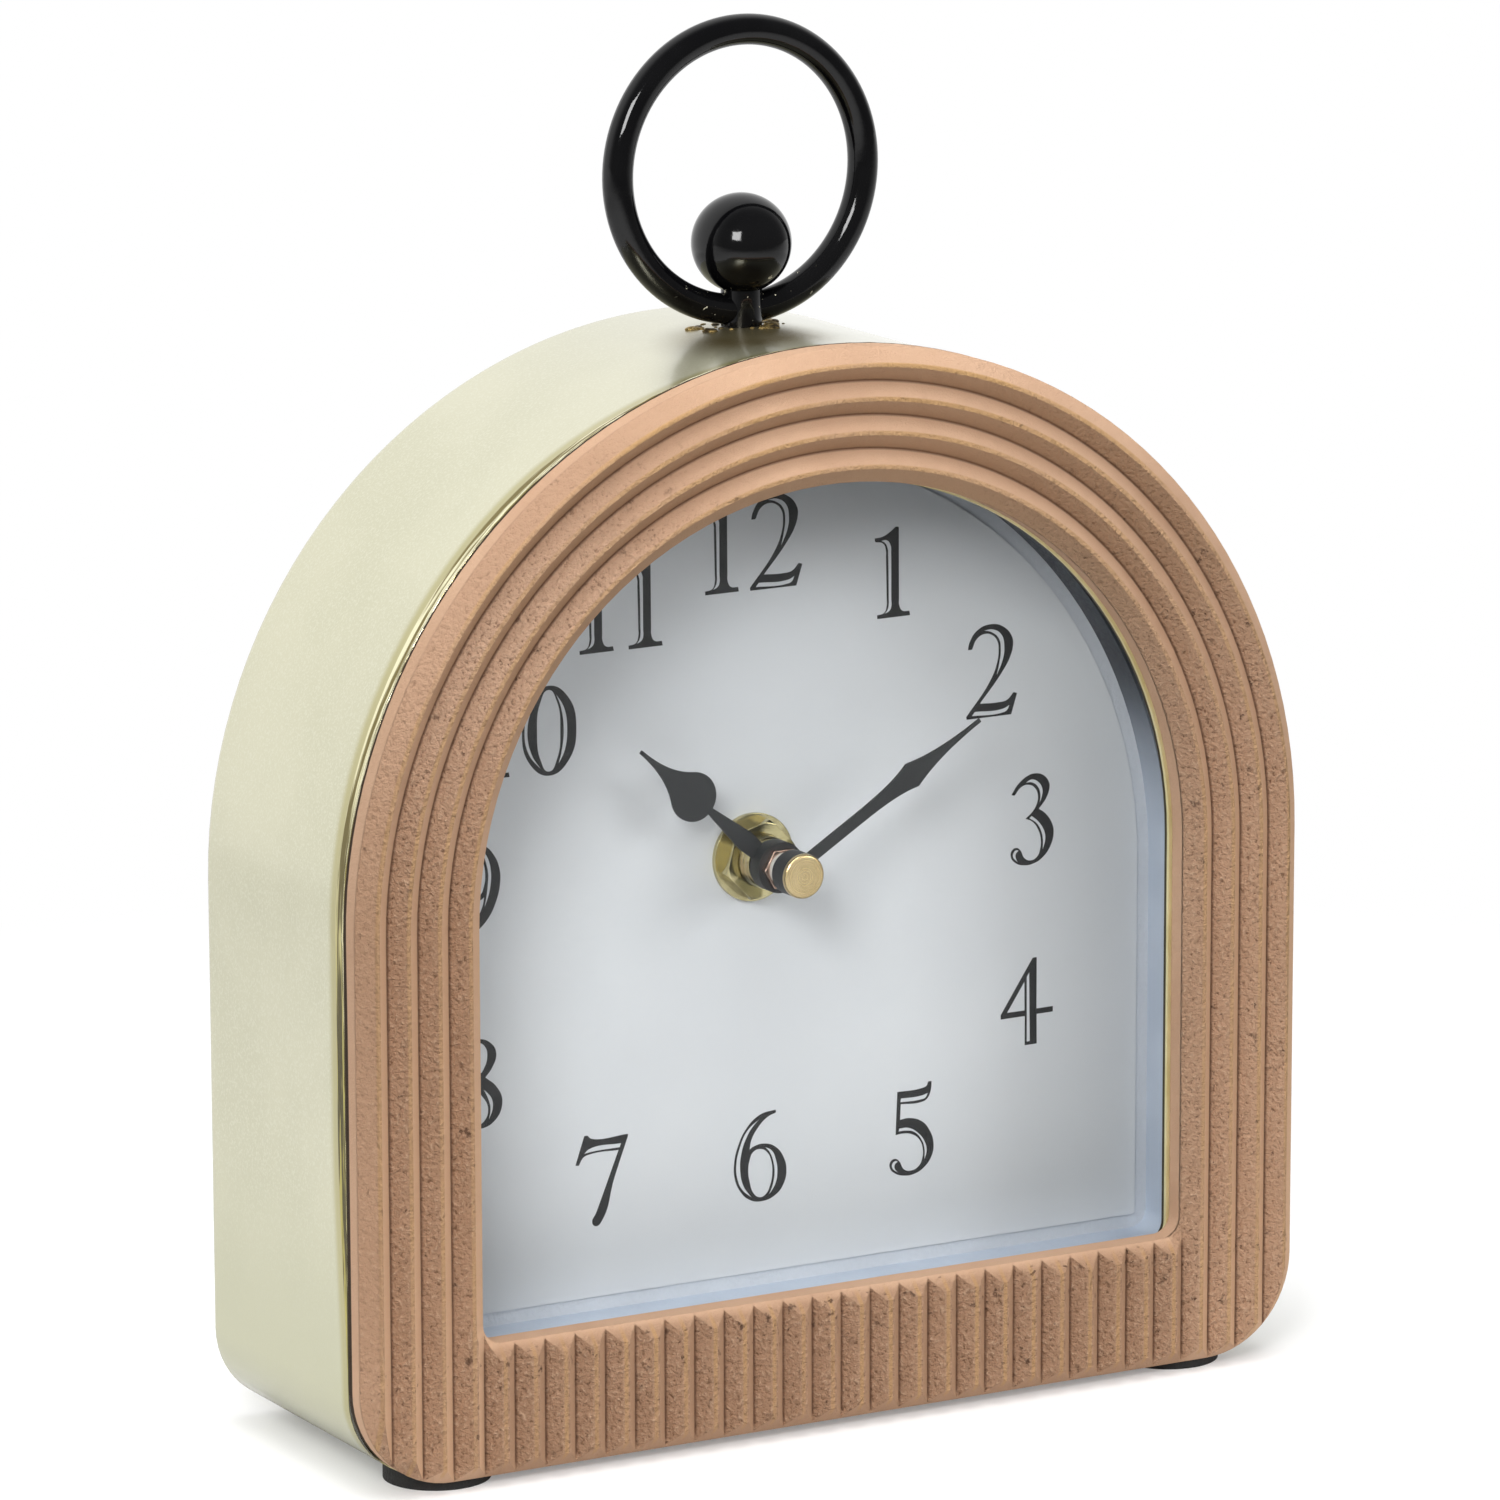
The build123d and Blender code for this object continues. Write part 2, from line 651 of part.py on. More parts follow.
def outline_face(right_side):
    """Face from the right-hand edges of a hand that points up, closed by their mirror image."""
    left_side = [mirror(edge, Plane.YZ) for edge in right_side]
    foot = Line(right_side[0] @ 0, left_side[0] @ 0)
    tip = Line(right_side[-1] @ 1, left_side[-1] @ 1)
    return make_face(right_side + left_side + [foot, tip])


def hour_hand():
    """Spade hand on its hub."""
    neck_reach = SPADE_REACH - math.sqrt(SPADE_RADIUS**2 - HOUR_NECK_HALF**2)
    stem = outline_face([
        Line((HOUR_STEM_HALF, 0), (HOUR_SWELL_HALF, HOUR_SWELL_REACH)),
        Line((HOUR_SWELL_HALF, HOUR_SWELL_REACH), (HOUR_NECK_HALF, neck_reach)),
        Line((HOUR_NECK_HALF, neck_reach), (HOUR_NECK_HALF, SPADE_REACH)),
    ])
    shoulder = polar((0, SPADE_REACH), SPADE_RADIUS, SPADE_SHOULDER)
    tip = (HAND_TIP_HALF, HOUR_LENGTH)
    sweep_out = Vector(-math.sin(math.radians(SPADE_SHOULDER)), math.cos(math.radians(SPADE_SHOULDER)))
    blade = outline_face([Spline(shoulder, tip, tangents=(sweep_out, (0, 1)))])
    leaf = stem + Pos(0, SPADE_REACH) * Circle(SPADE_RADIUS) + blade
    hand = axis_slab(Rot(0, 0, -HOUR_ANGLE) * leaf, hour_low, hour_low + HAND_SHEET)
    hand = hand + hand_hub(HOUR_HUB_DIAMETER, hour_low, hour_top)
    return hand - hand_hub(PIPE_DIAMETER + 2 * SEAT_CLEAR, hour_low, hour_top)


def hour_collet():
    """Hexagonal copper collet that holds the hour hand on its pipe."""
    hexagon = RegularPolygon(COLLET_FLATS / 2, 6, major_radius=False)
    ring = hexagon - disc(PIPE_DIAMETER + 2 * SEAT_CLEAR)
    return axis_slab(ring, hour_top, collet_top)


def minute_hand():
    """Lozenge hand on its hub."""
    stem_top = (MINUTE_STEM_HALF, MINUTE_STEM_REACH)
    corner = (LOZENGE_HALF, LOZENGE_REACH)
    tip = (HAND_TIP_HALF, MINUTE_LENGTH)
    leaf = outline_face([
        Line((MINUTE_STEM_HALF, 0), stem_top),
        Spline(stem_top, corner, tangents=((0, 1), (0.35, 1))),
        Spline(corner, tip, tangents=((-0.35, 1), (0, 1))),
    ])
    hand = axis_slab(Rot(0, 0, -MINUTE_ANGLE) * leaf, minute_low, minute_low + HAND_SHEET)
    hand = hand + hand_hub(MINUTE_HUB_DIAMETER, minute_low, minute_top)
    hand = hand - hand_hub(ARBOR_DIAMETER + 2 * SEAT_CLEAR, minute_low, minute_seat)
    return hand - hand_hub(CAP_SKIRT_DIAMETER + 2 * SEAT_CLEAR, minute_seat, minute_top)


def cap_nut():
    """Closed round nut on the arbor's stud: a head over the minute hub and a skirt inside it."""
    nut = axis_slab(disc(CAP_DIAMETER), minute_top, cap_top)
    nut = fillet(nut.faces().sort_by(Axis.Y)[0].edges(), CAP_EDGE_BREAK)
    nut = nut + axis_slab(disc(CAP_SKIRT_DIAMETER), minute_seat + SEAT_CLEAR, minute_top)
    stud = disc(CAP_STUD_DIAMETER + 2 * SEAT_CLEAR)
    return nut - axis_slab(stud, minute_seat, minute_seat + CAP_STUD_LENGTH + SEAT_CLEAR)


def dial_washer():
    """Brass washer under the fixing nut."""
    ring = disc(WASHER_DIAMETER) - disc(BUSH_DIAMETER + 2 * SEAT_CLEAR)
    return axis_slab(ring, 0, WASHER_THICK)


def hex_nut():
    """Hexagonal fixing nut with its front corners turned off."""
    hexagon = RegularPolygon(NUT_FLATS / 2, 6, major_radius=False, rotation=15)
    nut = axis_slab(hexagon, WASHER_THICK, nut_top)
    turned = axis_slab(disc(NUT_FLATS / math.cos(math.pi / 6)), WASHER_THICK, nut_top)
    turned = chamfer(turned.faces().sort_by(Axis.Y)[0].edges(), NUT_EDGE_BREAK)
    return (nut & turned) - axis_slab(disc(BUSH_DIAMETER + 2 * SEAT_CLEAR), WASHER_THICK, nut_top)


def threaded_bush():
    """Bush through the dial, with a flange inside the movement's front wall."""
    bush = slab(disc(BUSH_DIAMETER), y_dial - bush_top, y_train, axis_z)
    bush = bush + train_slab(disc(BUSH_FLANGE_DIAMETER), (0, BUSH_FLANGE_THICK))
    bore = disc(PIPE_DIAMETER + 2 * RUNNING_CLEAR)
    return bush - slab(bore, y_dial - bush_top, y_train + BUSH_FLANGE_THICK, axis_z)


def rubber_washer():
    """Soft washer between the dial board and the movement."""
    ring = disc(RUBBER_DIAMETER) - disc(BUSH_DIAMETER + 2 * SEAT_CLEAR)
    return slab(ring, y_board_back, y_movement, axis_z)


def gear_face(teeth, module, tooth_direction):
    """Toothed outline with a tooth centred on a direction. Small pinions get shaped leaves."""
    pitch_radius = module * teeth / 2
    root = pitch_radius - TOOTH_DEDENDUM * module
    tip = pitch_radius + TOOTH_ADDENDUM * module
    half = TOOTH_WIDTH * 90 / teeth
    flank = [(root, -half), (pitch_radius, -half)] if teeth <= FINE_TOOTH_LIMIT else [(root, -half)]
    rising = flank + [(tip, -half * TOOTH_TIP)]
    falling = [(radius, -angle) for radius, angle in reversed(rising)]
    points = []
    for count in range(teeth):
        centre = tooth_direction + 360 * count / teeth
        points += [polar((0, 0), radius, centre + angle) for radius, angle in rising + falling]
    return make_face(Polyline(points, close=True))


def driving_gear(teeth, module, start, partner):
    """Toothed outline with a tooth towards its partner's arbor."""
    direction = math.degrees(math.atan2(partner[1] - start[1], partner[0] - start[0]))
    return gear_face(teeth, module, direction)


def driven_gear(teeth, module, start, partner):
    """Toothed outline with a gap towards its partner's arbor."""
    direction = math.degrees(math.atan2(partner[1] - start[1], partner[0] - start[0]))
    return gear_face(teeth, module, direction + 180 / teeth)


full_arbor = (-PIVOT_DEPTH, cover_depth + PIVOT_DEPTH)


def train_wheel(at, wheel, wheel_layer, pinion, pinion_layer):
    """A wheel and its pinion on an arbor that pivots in the front wall and the cover."""
    piece = train_slab(disc(WHEEL_ARBOR_DIAMETER), full_arbor, at)
    piece = piece + train_slab(wheel, wheel_layer, at)
    return piece + train_slab(pinion, pinion_layer, at)


def hour_wheel():
    """Hour wheel with the pipe that carries the hour hand."""
    wheel = train_slab(driven_gear(HOUR_TEETH, hour_module, centre_at, setting_at), hour_layer)
    wheel = wheel + slab(disc(PIPE_DIAMETER), y_dial - pipe_top, y_train + hour_layer[1], axis_z)
    bore = disc(ARBOR_DIAMETER + 2 * RUNNING_CLEAR)
    return wheel - slab(bore, y_dial - pipe_top, y_train + hour_layer[1], axis_z)


def minute_arbor():
    """Centre arbor with the cannon pinion, the stud for the cap nut and a rear pivot."""
    rear_step = y_train + collar_layer[1]
    arbor = slab(disc(ARBOR_DIAMETER), y_dial - minute_seat, rear_step, axis_z)
    arbor = arbor + axis_slab(disc(CAP_STUD_DIAMETER), minute_seat, minute_seat + CAP_STUD_LENGTH)
    arbor = arbor + slab(disc(REAR_PIVOT_DIAMETER), rear_step, y_cover + PIVOT_DEPTH, axis_z)
    return arbor + train_slab(driving_gear(CANNON_TEETH, motion_module, centre_at, setting_at), cannon_layer)


def clutch_spring():
    """Dished spring washer that presses the centre wheel against its collar."""
    bore = ARBOR_DIAMETER + 2 * SEAT_CLEAR
    rise = spring_layer[1] - spring_layer[0]
    dish = Cone(CLUTCH_SPRING_DIAMETER / 2, bore / 2 + rise, rise)
    dish = dish - Cylinder(bore / 2, rise)
    hollow = Cone(CLUTCH_SPRING_DIAMETER / 2 - rise, bore / 2, rise)
    middle = y_train + (spring_layer[0] + spring_layer[1]) / 2
    return Pos(0, middle, axis_z) * Rot(90, 0, 0) * (dish - Pos(0, 0, -rise / 3) * hollow)


def clutch_collar():
    """Collar pressed on the arbor behind the centre wheel."""
    return train_slab(disc(CLUTCH_COLLAR_DIAMETER) - disc(ARBOR_DIAMETER + 2 * SEAT_CLEAR), collar_layer)


def centre_wheel():
    """Wheel that slips on the minute arbor when the hands are set."""
    wheel = driven_gear(CENTRE_TEETH, CENTRE_MODULE, centre_at, third_at)
    return train_slab(wheel - disc(ARBOR_DIAMETER + 2 * RUNNING_CLEAR), centre_layer)


def third_wheel():
    """Third wheel and its pinion, which drives the centre wheel."""
    wheel = driven_gear(THIRD_TEETH, THIRD_MODULE, third_at, seconds_at)
    pinion = driving_gear(PINION_TEETH, CENTRE_MODULE, third_at, centre_at)
    return train_wheel(third_at, wheel, third_layer, pinion, widen(centre_layer, PINION_OVERLAP))


def seconds_wheel():
    """Seconds wheel and its pinion, which drives the third wheel."""
    wheel = driven_gear(SECONDS_TEETH, SECONDS_MODULE, seconds_at, step_at)
    pinion = driving_gear(PINION_TEETH, THIRD_MODULE, seconds_at, third_at)
    return train_wheel(seconds_at, wheel, seconds_layer, pinion, widen(third_layer, PINION_OVERLAP))


def step_wheel():
    """Intermediate wheel and its pinion, which drives the seconds wheel."""
    wheel = driven_gear(STEP_TEETH, STEP_MODULE, step_at, rotor_at)
    pinion = driving_gear(PINION_TEETH, SECONDS_MODULE, step_at, seconds_at)
    return train_wheel(step_at, wheel, step_layer, pinion, widen(seconds_layer, PINION_OVERLAP))


def rotor_pinion():
    """Rotor arbor with its pinion."""
    pinion = driving_gear(PINION_TEETH, STEP_MODULE, rotor_at, step_at)
    arbor = train_slab(disc(WHEEL_ARBOR_DIAMETER), full_arbor, rotor_at)
    return arbor + train_slab(pinion, widen(step_layer, PINION_OVERLAP), rotor_at)


def rotor_magnet():
    """Magnet disc on the rotor arbor."""
    ring = disc(MAGNET_DIAMETER) - disc(WHEEL_ARBOR_DIAMETER + 2 * SEAT_CLEAR)
    return train_slab(ring, magnet_layer, rotor_at)


def setting_wheel():
    """Setting wheel with its pinion, on an arbor that comes out of the cover."""
    wheel = driven_gear(SETTING_TEETH, motion_module, setting_at, centre_at)
    pinion = driving_gear(SETTING_PINION_TEETH, hour_module, setting_at, centre_at)
    arbor_end = cover_depth + COVER_THICK + KNOB_GAP + KNOB_THICK / 2
    piece = train_slab(disc(SETTING_ARBOR_DIAMETER), (-PIVOT_DEPTH, arbor_end), setting_at)
    piece = piece + train_slab(wheel, setting_layer, setting_at)
    return piece + train_slab(pinion, (hour_layer[0], setting_layer[0]), setting_at)


def setting_knob():
    """Fluted knob on the end of the setting arbor."""
    knob_front = cover_depth + COVER_THICK + KNOB_GAP
    layer = (knob_front, knob_front + KNOB_THICK)
    profile = disc(KNOB_DIAMETER)
    flute = disc(KNOB_FLUTE_DIAMETER)
    for count in range(KNOB_FLUTES):
        profile = profile - Pos(polar((0, 0), KNOB_DIAMETER / 2, 360 * count / KNOB_FLUTES)) * flute
    socket_layer = (knob_front, knob_front + KNOB_THICK / 2 + SEAT_CLEAR)
    socket = disc(SETTING_ARBOR_DIAMETER + 2 * SEAT_CLEAR)
    return train_slab(profile, layer, setting_at) - train_slab(socket, socket_layer, setting_at)


# Places of the posts inside the movement
cover_posts = [
    (-inside_half + POST_CORNER_INSET, ceiling_z - POST_CORNER_INSET),
    (inside_half - POST_CORNER_INSET, ceiling_z - POST_CORNER_INSET),
]
stator_posts = [(coil_x, -COIL_FOOT_DROP), (coil_x, rotor_at[1])]
board_left = -inside_half + BOARD_CLEAR
board_low = floor_z + CONTACT_TAIL
board_middle = board_left + BOARD_WIDTH / 2
board_posts = [
    (board_middle, board_low + POST_DIAMETER),
    (board_middle, board_low + BOARD_HEIGHT - POST_DIAMETER),
]
tail_layer = (BOARD_DEPTH, BOARD_DEPTH + CONTACT_TAIL)
train_arbors = [third_at, seconds_at, step_at, rotor_at]


def pivot_hole(diameter):
    """Profile of a hole that an arbor turns in."""
    return disc(diameter + 2 * RUNNING_CLEAR)


def movement_housing():
    """Moulded tray with a battery bay, pivot holes, posts and a hole for the bush."""
    outline = RectangleRounded(2 * movement_half, movement_top - movement_bottom, MOVEMENT_CORNER)
    tray = slab(outline, y_movement, y_movement_back, axis_z + movement_mid)
    whole_depth = (0, cover_depth + COVER_THICK)
    tray = tray - train_slab(box_profile(-inside_half, inside_half, floor_z, ceiling_z), whole_depth)
    tray = tray - train_slab(box_profile(-inside_half, inside_half, bay_bottom, bay_top), whole_depth)
    ledge = box_profile(-inside_half, inside_half, bay_top, floor_z)
    tray = tray - train_slab(ledge, (cover_depth, cover_depth + COVER_THICK))
    for x in (-inside_half, inside_half - CONTACT_SHEET - CONTACT_CLEAR):
        notch = box_profile(x, x + CONTACT_SHEET + CONTACT_CLEAR, bay_top, floor_z)
        tray = tray - train_slab(notch, (tail_layer[0] - CONTACT_CLEAR, cover_depth))
    tray = tray - train_slab(disc(BUSH_DIAMETER + 2 * SEAT_CLEAR), (-MOVEMENT_WALL, 0))
    blind = (-PIVOT_DEPTH - END_SHAKE, 0)
    for at in train_arbors:
        tray = tray - train_slab(pivot_hole(WHEEL_ARBOR_DIAMETER), blind, at)
    tray = tray - train_slab(pivot_hole(SETTING_ARBOR_DIAMETER), blind, setting_at)
    posts = [(at, cover_depth) for at in cover_posts]
    posts += [(at, stator_layer[0]) for at in stator_posts]
    posts += [(at, BOARD_DEPTH) for at in board_posts]
    for at, depth in posts:
        tray = tray + train_slab(disc(POST_DIAMETER), (0, depth), at)
    return tray


def movement_cover():
    """Lid over the wheel train, bored for the pivots and the setting arbor."""
    half = inside_half - COVER_CLEAR
    lid = box_profile(-half, half, bay_top, ceiling_z - COVER_CLEAR)
    cover = train_slab(lid, (cover_depth, cover_depth + COVER_THICK))
    blind = (cover_depth, cover_depth + PIVOT_DEPTH + END_SHAKE)
    for at in train_arbors:
        cover = cover - train_slab(pivot_hole(WHEEL_ARBOR_DIAMETER), blind, at)
    cover = cover - train_slab(pivot_hole(REAR_PIVOT_DIAMETER), blind)
    through = (cover_depth, cover_depth + COVER_THICK)
    return cover - train_slab(pivot_hole(SETTING_ARBOR_DIAMETER), through, setting_at)


def stator():
    """One-piece pole plate round the rotor, with arms to both ends of the coil."""
    x, z = rotor_at
    end = coil_x + CORE_WIDTH
    body = box_profile(x - STATOR_RIM - STATOR_HOLE_CLEAR, end, z - STATOR_RIM, z + STATOR_RIM)
    body = body + Pos(x, z) * Circle(MAGNET_DIAMETER / 2 + STATOR_HOLE_CLEAR + 1)
    leg_left = x - STATOR_ARM / 2
    body = body + box_profile(leg_left, leg_left + STATOR_ARM, -COIL_FOOT_DROP, z)
    foot_low = -COIL_FOOT_DROP - STATOR_ARM / 2
    body = body + box_profile(leg_left, end, foot_low, foot_low + STATOR_ARM)
    body = body - Pos(x, z) * Circle(MAGNET_DIAMETER / 2 + STATOR_HOLE_CLEAR)
    return train_slab(body, stator_layer)


def coil_core():
    """Flat bar through the coil, lying on both ends of the stator."""
    low = -COIL_FOOT_DROP - STATOR_ARM / 2
    high = rotor_at[1] + STATOR_RIM
    half = CORE_WIDTH / 2
    return train_slab(box_profile(coil_x - half, coil_x + half, low, high), core_layer)


coil_y = y_train + (core_layer[0] + core_layer[1]) / 2


def coil_tube(diameter, low, high):
    """Cylinder along the coil."""
    return upright(diameter, axis_z + low, axis_z + high, coil_x, coil_y)


def coil_bobbin():
    """Moulded bobbin with a square flange at each end and a slot for the core."""
    bobbin = coil_tube(BOBBIN_DIAMETER, coil_low, coil_high)
    for low in (coil_low, coil_high - BOBBIN_FLANGE_THICK):
        middle = axis_z + low + BOBBIN_FLANGE_THICK / 2
        flange = Box(BOBBIN_FLANGE, BOBBIN_FLANGE, BOBBIN_FLANGE_THICK)
        bobbin = bobbin + Pos(coil_x, coil_y, middle) * flange
    half = CORE_WIDTH / 2 + SEAT_CLEAR
    slot = box_profile(coil_x - half, coil_x + half, coil_low, coil_high)
    return bobbin - train_slab(slot, widen(core_layer, SEAT_CLEAR))


def coil_winding():
    """Enamelled wire as one wound block on the bobbin."""
    low = coil_low + BOBBIN_FLANGE_THICK + SEAT_CLEAR
    high = coil_high - BOBBIN_FLANGE_THICK - SEAT_CLEAR
    return coil_tube(WINDING_DIAMETER, low, high) - coil_tube(BOBBIN_DIAMETER + 2 * SEAT_CLEAR, low, high)


board_back = BOARD_DEPTH + BOARD_THICK


def circuit_board():
    """Small printed board on two posts."""
    outline = box_profile(board_left, board_left + BOARD_WIDTH, board_low, board_low + BOARD_HEIGHT)
    return train_slab(outline, (BOARD_DEPTH, board_back))


def quartz_crystal():
    """Crystal can lying on the board."""
    middle = board_low + BOARD_HEIGHT / 3
    y = y_train + board_back + CRYSTAL_DIAMETER / 2
    low = axis_z + middle - CRYSTAL_LENGTH / 2
    return upright(CRYSTAL_DIAMETER, low, low + CRYSTAL_LENGTH, board_middle, y)


def control_chip():
    """Chip under a round drop of resin."""
    at = (board_middle, board_low + BOARD_HEIGHT * 3 / 4)
    drop = train_slab(disc(CHIP_DIAMETER), (board_back, board_back + CHIP_HEIGHT), at)
    return fillet(drop.faces().sort_by(Axis.Y)[-1].edges(), CHIP_HEIGHT * 0.8)


def contact_leaf(side):
    """Leaf at one end of the battery bay, with a dimple towards the cell and a tail to the board."""
    wall = side * inside_half
    face = wall - side * CONTACT_SHEET
    left, right = min(wall, face), max(wall, face)
    half = CONTACT_WIDTH / 2
    middle = (y_train + y_movement_back) / 2
    depth = middle - y_train
    leaf_layer = (depth - half, depth + half)
    leaf = train_slab(box_profile(left, right, battery_at - half, battery_at + half), leaf_layer)
    rise = CONTACT_SPACE - CONTACT_SHEET - CONTACT_CLEAR
    dimple = Cone(CONTACT_DIMPLE / 2, CONTACT_DIMPLE / 3, rise)
    dimple = Rot(0, -90 * side, 0) * dimple
    leaf = leaf + Pos(face - side * rise / 2, middle, axis_z + battery_at) * dimple
    tail = box_profile(left, right, battery_at, floor_z + CONTACT_TAIL - CONTACT_CLEAR)
    return leaf + train_slab(tail, tail_layer)


def negative_contact():
    """Contact at the flat end of the cell, beside the board."""
    return contact_leaf(-1)


def positive_contact():
    """Contact at the nub end, with a strip along the bay wall to the board."""
    strip_left = board_left + BOARD_WIDTH / 2
    strip = box_profile(strip_left, inside_half, floor_z, floor_z + CONTACT_SHEET)
    foot = box_profile(strip_left, strip_left + CONTACT_SHEET, floor_z, board_low - CONTACT_CLEAR)
    return contact_leaf(1) + train_slab(strip, tail_layer) + train_slab(foot, tail_layer)


def battery():
    """Round cell lying along X in its bay, nub to the right."""
    cell = Cylinder(BATTERY_DIAMETER / 2, BATTERY_LENGTH)
    cell = fillet(cell.edges().filter_by(GeomType.CIRCLE), BATTERY_EDGE)
    nub = Pos(0, 0, BATTERY_LENGTH / 2 + NUB_LENGTH / 2) * Cylinder(NUB_DIAMETER / 2, NUB_LENGTH)
    return Pos(-NUB_LENGTH / 2, battery_y, axis_z + battery_at) * Rot(0, 90, 0) * (cell + nub)


pieces = [
    front_frame, front_plate, case_shell, window_glass, glass_clips,
    dial_board, dial_face, dial_rim, dial_pillars, pillar_screws, foot_pads,
    finial_ring, finial_post, finial_ball,
    hour_hand, hour_collet, minute_hand, cap_nut, dial_washer, hex_nut, threaded_bush, rubber_washer,
    hour_wheel, minute_arbor, clutch_spring, clutch_collar, centre_wheel, third_wheel, seconds_wheel,
    step_wheel, rotor_pinion, rotor_magnet, setting_wheel, setting_knob,
    movement_housing, movement_cover, stator, coil_core, coil_bobbin, coil_winding,
    circuit_board, quartz_crystal, control_chip, negative_contact, positive_contact, battery,
]

os.makedirs("parts", exist_ok=True)
for piece in pieces:
    export_step(piece(), f"parts/{piece.__name__}.step")
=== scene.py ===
import json
import math
import random
from types import SimpleNamespace

import bmesh
import bpy
from mathutils import Matrix, Vector


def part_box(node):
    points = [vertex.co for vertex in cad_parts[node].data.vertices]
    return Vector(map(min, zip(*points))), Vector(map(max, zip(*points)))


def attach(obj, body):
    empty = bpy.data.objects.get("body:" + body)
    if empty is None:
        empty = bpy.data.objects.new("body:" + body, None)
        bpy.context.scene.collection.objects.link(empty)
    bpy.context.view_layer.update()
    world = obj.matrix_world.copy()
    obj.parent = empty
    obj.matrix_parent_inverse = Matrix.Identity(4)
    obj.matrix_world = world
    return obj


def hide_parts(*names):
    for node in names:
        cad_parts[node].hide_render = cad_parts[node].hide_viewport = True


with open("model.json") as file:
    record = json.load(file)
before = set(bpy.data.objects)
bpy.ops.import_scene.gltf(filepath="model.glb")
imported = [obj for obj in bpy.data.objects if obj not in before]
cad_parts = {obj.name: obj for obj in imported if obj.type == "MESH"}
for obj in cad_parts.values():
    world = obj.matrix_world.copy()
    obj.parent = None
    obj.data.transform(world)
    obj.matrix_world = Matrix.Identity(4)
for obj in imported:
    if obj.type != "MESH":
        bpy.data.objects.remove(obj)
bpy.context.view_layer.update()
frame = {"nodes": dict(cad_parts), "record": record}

# Arch-top mantel clock: finishes for the CAD pieces, the dial's numerals, the bush's thread, the weld under
# the finial and the crinkled edge of the gold plate, in metres and in the CAD frame. The front faces -Y.

MM = 0.001

# Camera, fitted to the photograph
CAMERA_PLACE = Vector((-592.9, -1048.6, 354.7)) * MM
CAMERA_AIM = Vector((-15.2, -25.0, 105.3)) * MM
CAMERA_ROLL = math.radians(-0.13)
CAMERA_LENS = 197.5
CAMERA_SENSOR = 36.0

# Studio light: strength of the world and the floor, and the distances over which the floor turns white
WORLD_FILL = 0.56
FRONT_GLOSS = 0.14
FLOOR_SIZE = 6.0
FLOOR_NEAR = 0.11
FLOOR_FAR = 0.34
MIRROR_NEAR = 0.3
MIRROR_FAR = 0.9
FLOOR_GLOW = 0.24
WHITE = (1.0, 1.0, 1.0, 1.0)

# Soft lamps: place from the clock's middle, size, power and whether gloss shows them
CLOCK_MIDDLE = Vector((0.0, 0.0, 0.09))
LAMPS = {
    "key_left": ((-0.66, -0.75, 0.52), 0.36, 6.5, True),
    "overhead": ((-0.10, -0.15, 1.0), 0.9, 8.5, False),
    "fill_right": ((0.80, -0.95, 0.40), 0.5, 3.3, False),
    "fill_back": ((-0.5, 1.0, 0.7), 0.8, 3.0, False),
}

# Places read from the frame
nodes = frame["nodes"]
board_low, board_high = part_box("front_frame")
shell_low, shell_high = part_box("case_shell")
cap_low, cap_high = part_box("cap_nut")
bush_low, bush_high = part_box("threaded_bush")
post_low, post_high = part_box("finial_post")
cell_low, cell_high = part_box("battery")
dial_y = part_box("dial_face")[0][1]
plate_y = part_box("front_plate")[0][1]
window_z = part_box("window_glass")[0][2]
axis_z = (cap_low[2] + cap_high[2]) / 2
post_y = (post_low[1] + post_high[1]) / 2
board_half = board_high[0]
arch_z = board_high[2] - board_half
shell_half = shell_high[0]

# Zones of the frame's paint, each as the two places between which its mask rises
FLUTE_PITCH = 5.0 * MM
FRONT_FACE = (board_low[1] + 2.9 * MM, board_low[1] + 2.3 * MM)
BELOW_WINDOW = (window_z + 5.2 * MM, window_z + 3.4 * MM)
BESIDE_WINDOW = (board_half - 19.2 * MM, board_half - 17.6 * MM)
UNDER_WINDOW = (board_half - 18.0 * MM, board_half - 21.0 * MM)
OFF_BEVEL = (board_half - 1.0 * MM, board_half - 2.2 * MM)
NEAR_BEVEL = (board_half - 2.0 * MM, board_half - 2.8 * MM)
OUTER_BAND = (board_half - 12.0 * MM, board_half - 8.0 * MM)
OFF_FOOT = (board_low[2] + 0.8 * MM, board_low[2] + 2.0 * MM)
FLUTE_TOPS = (window_z - 5.4 * MM, window_z - 0.4 * MM)

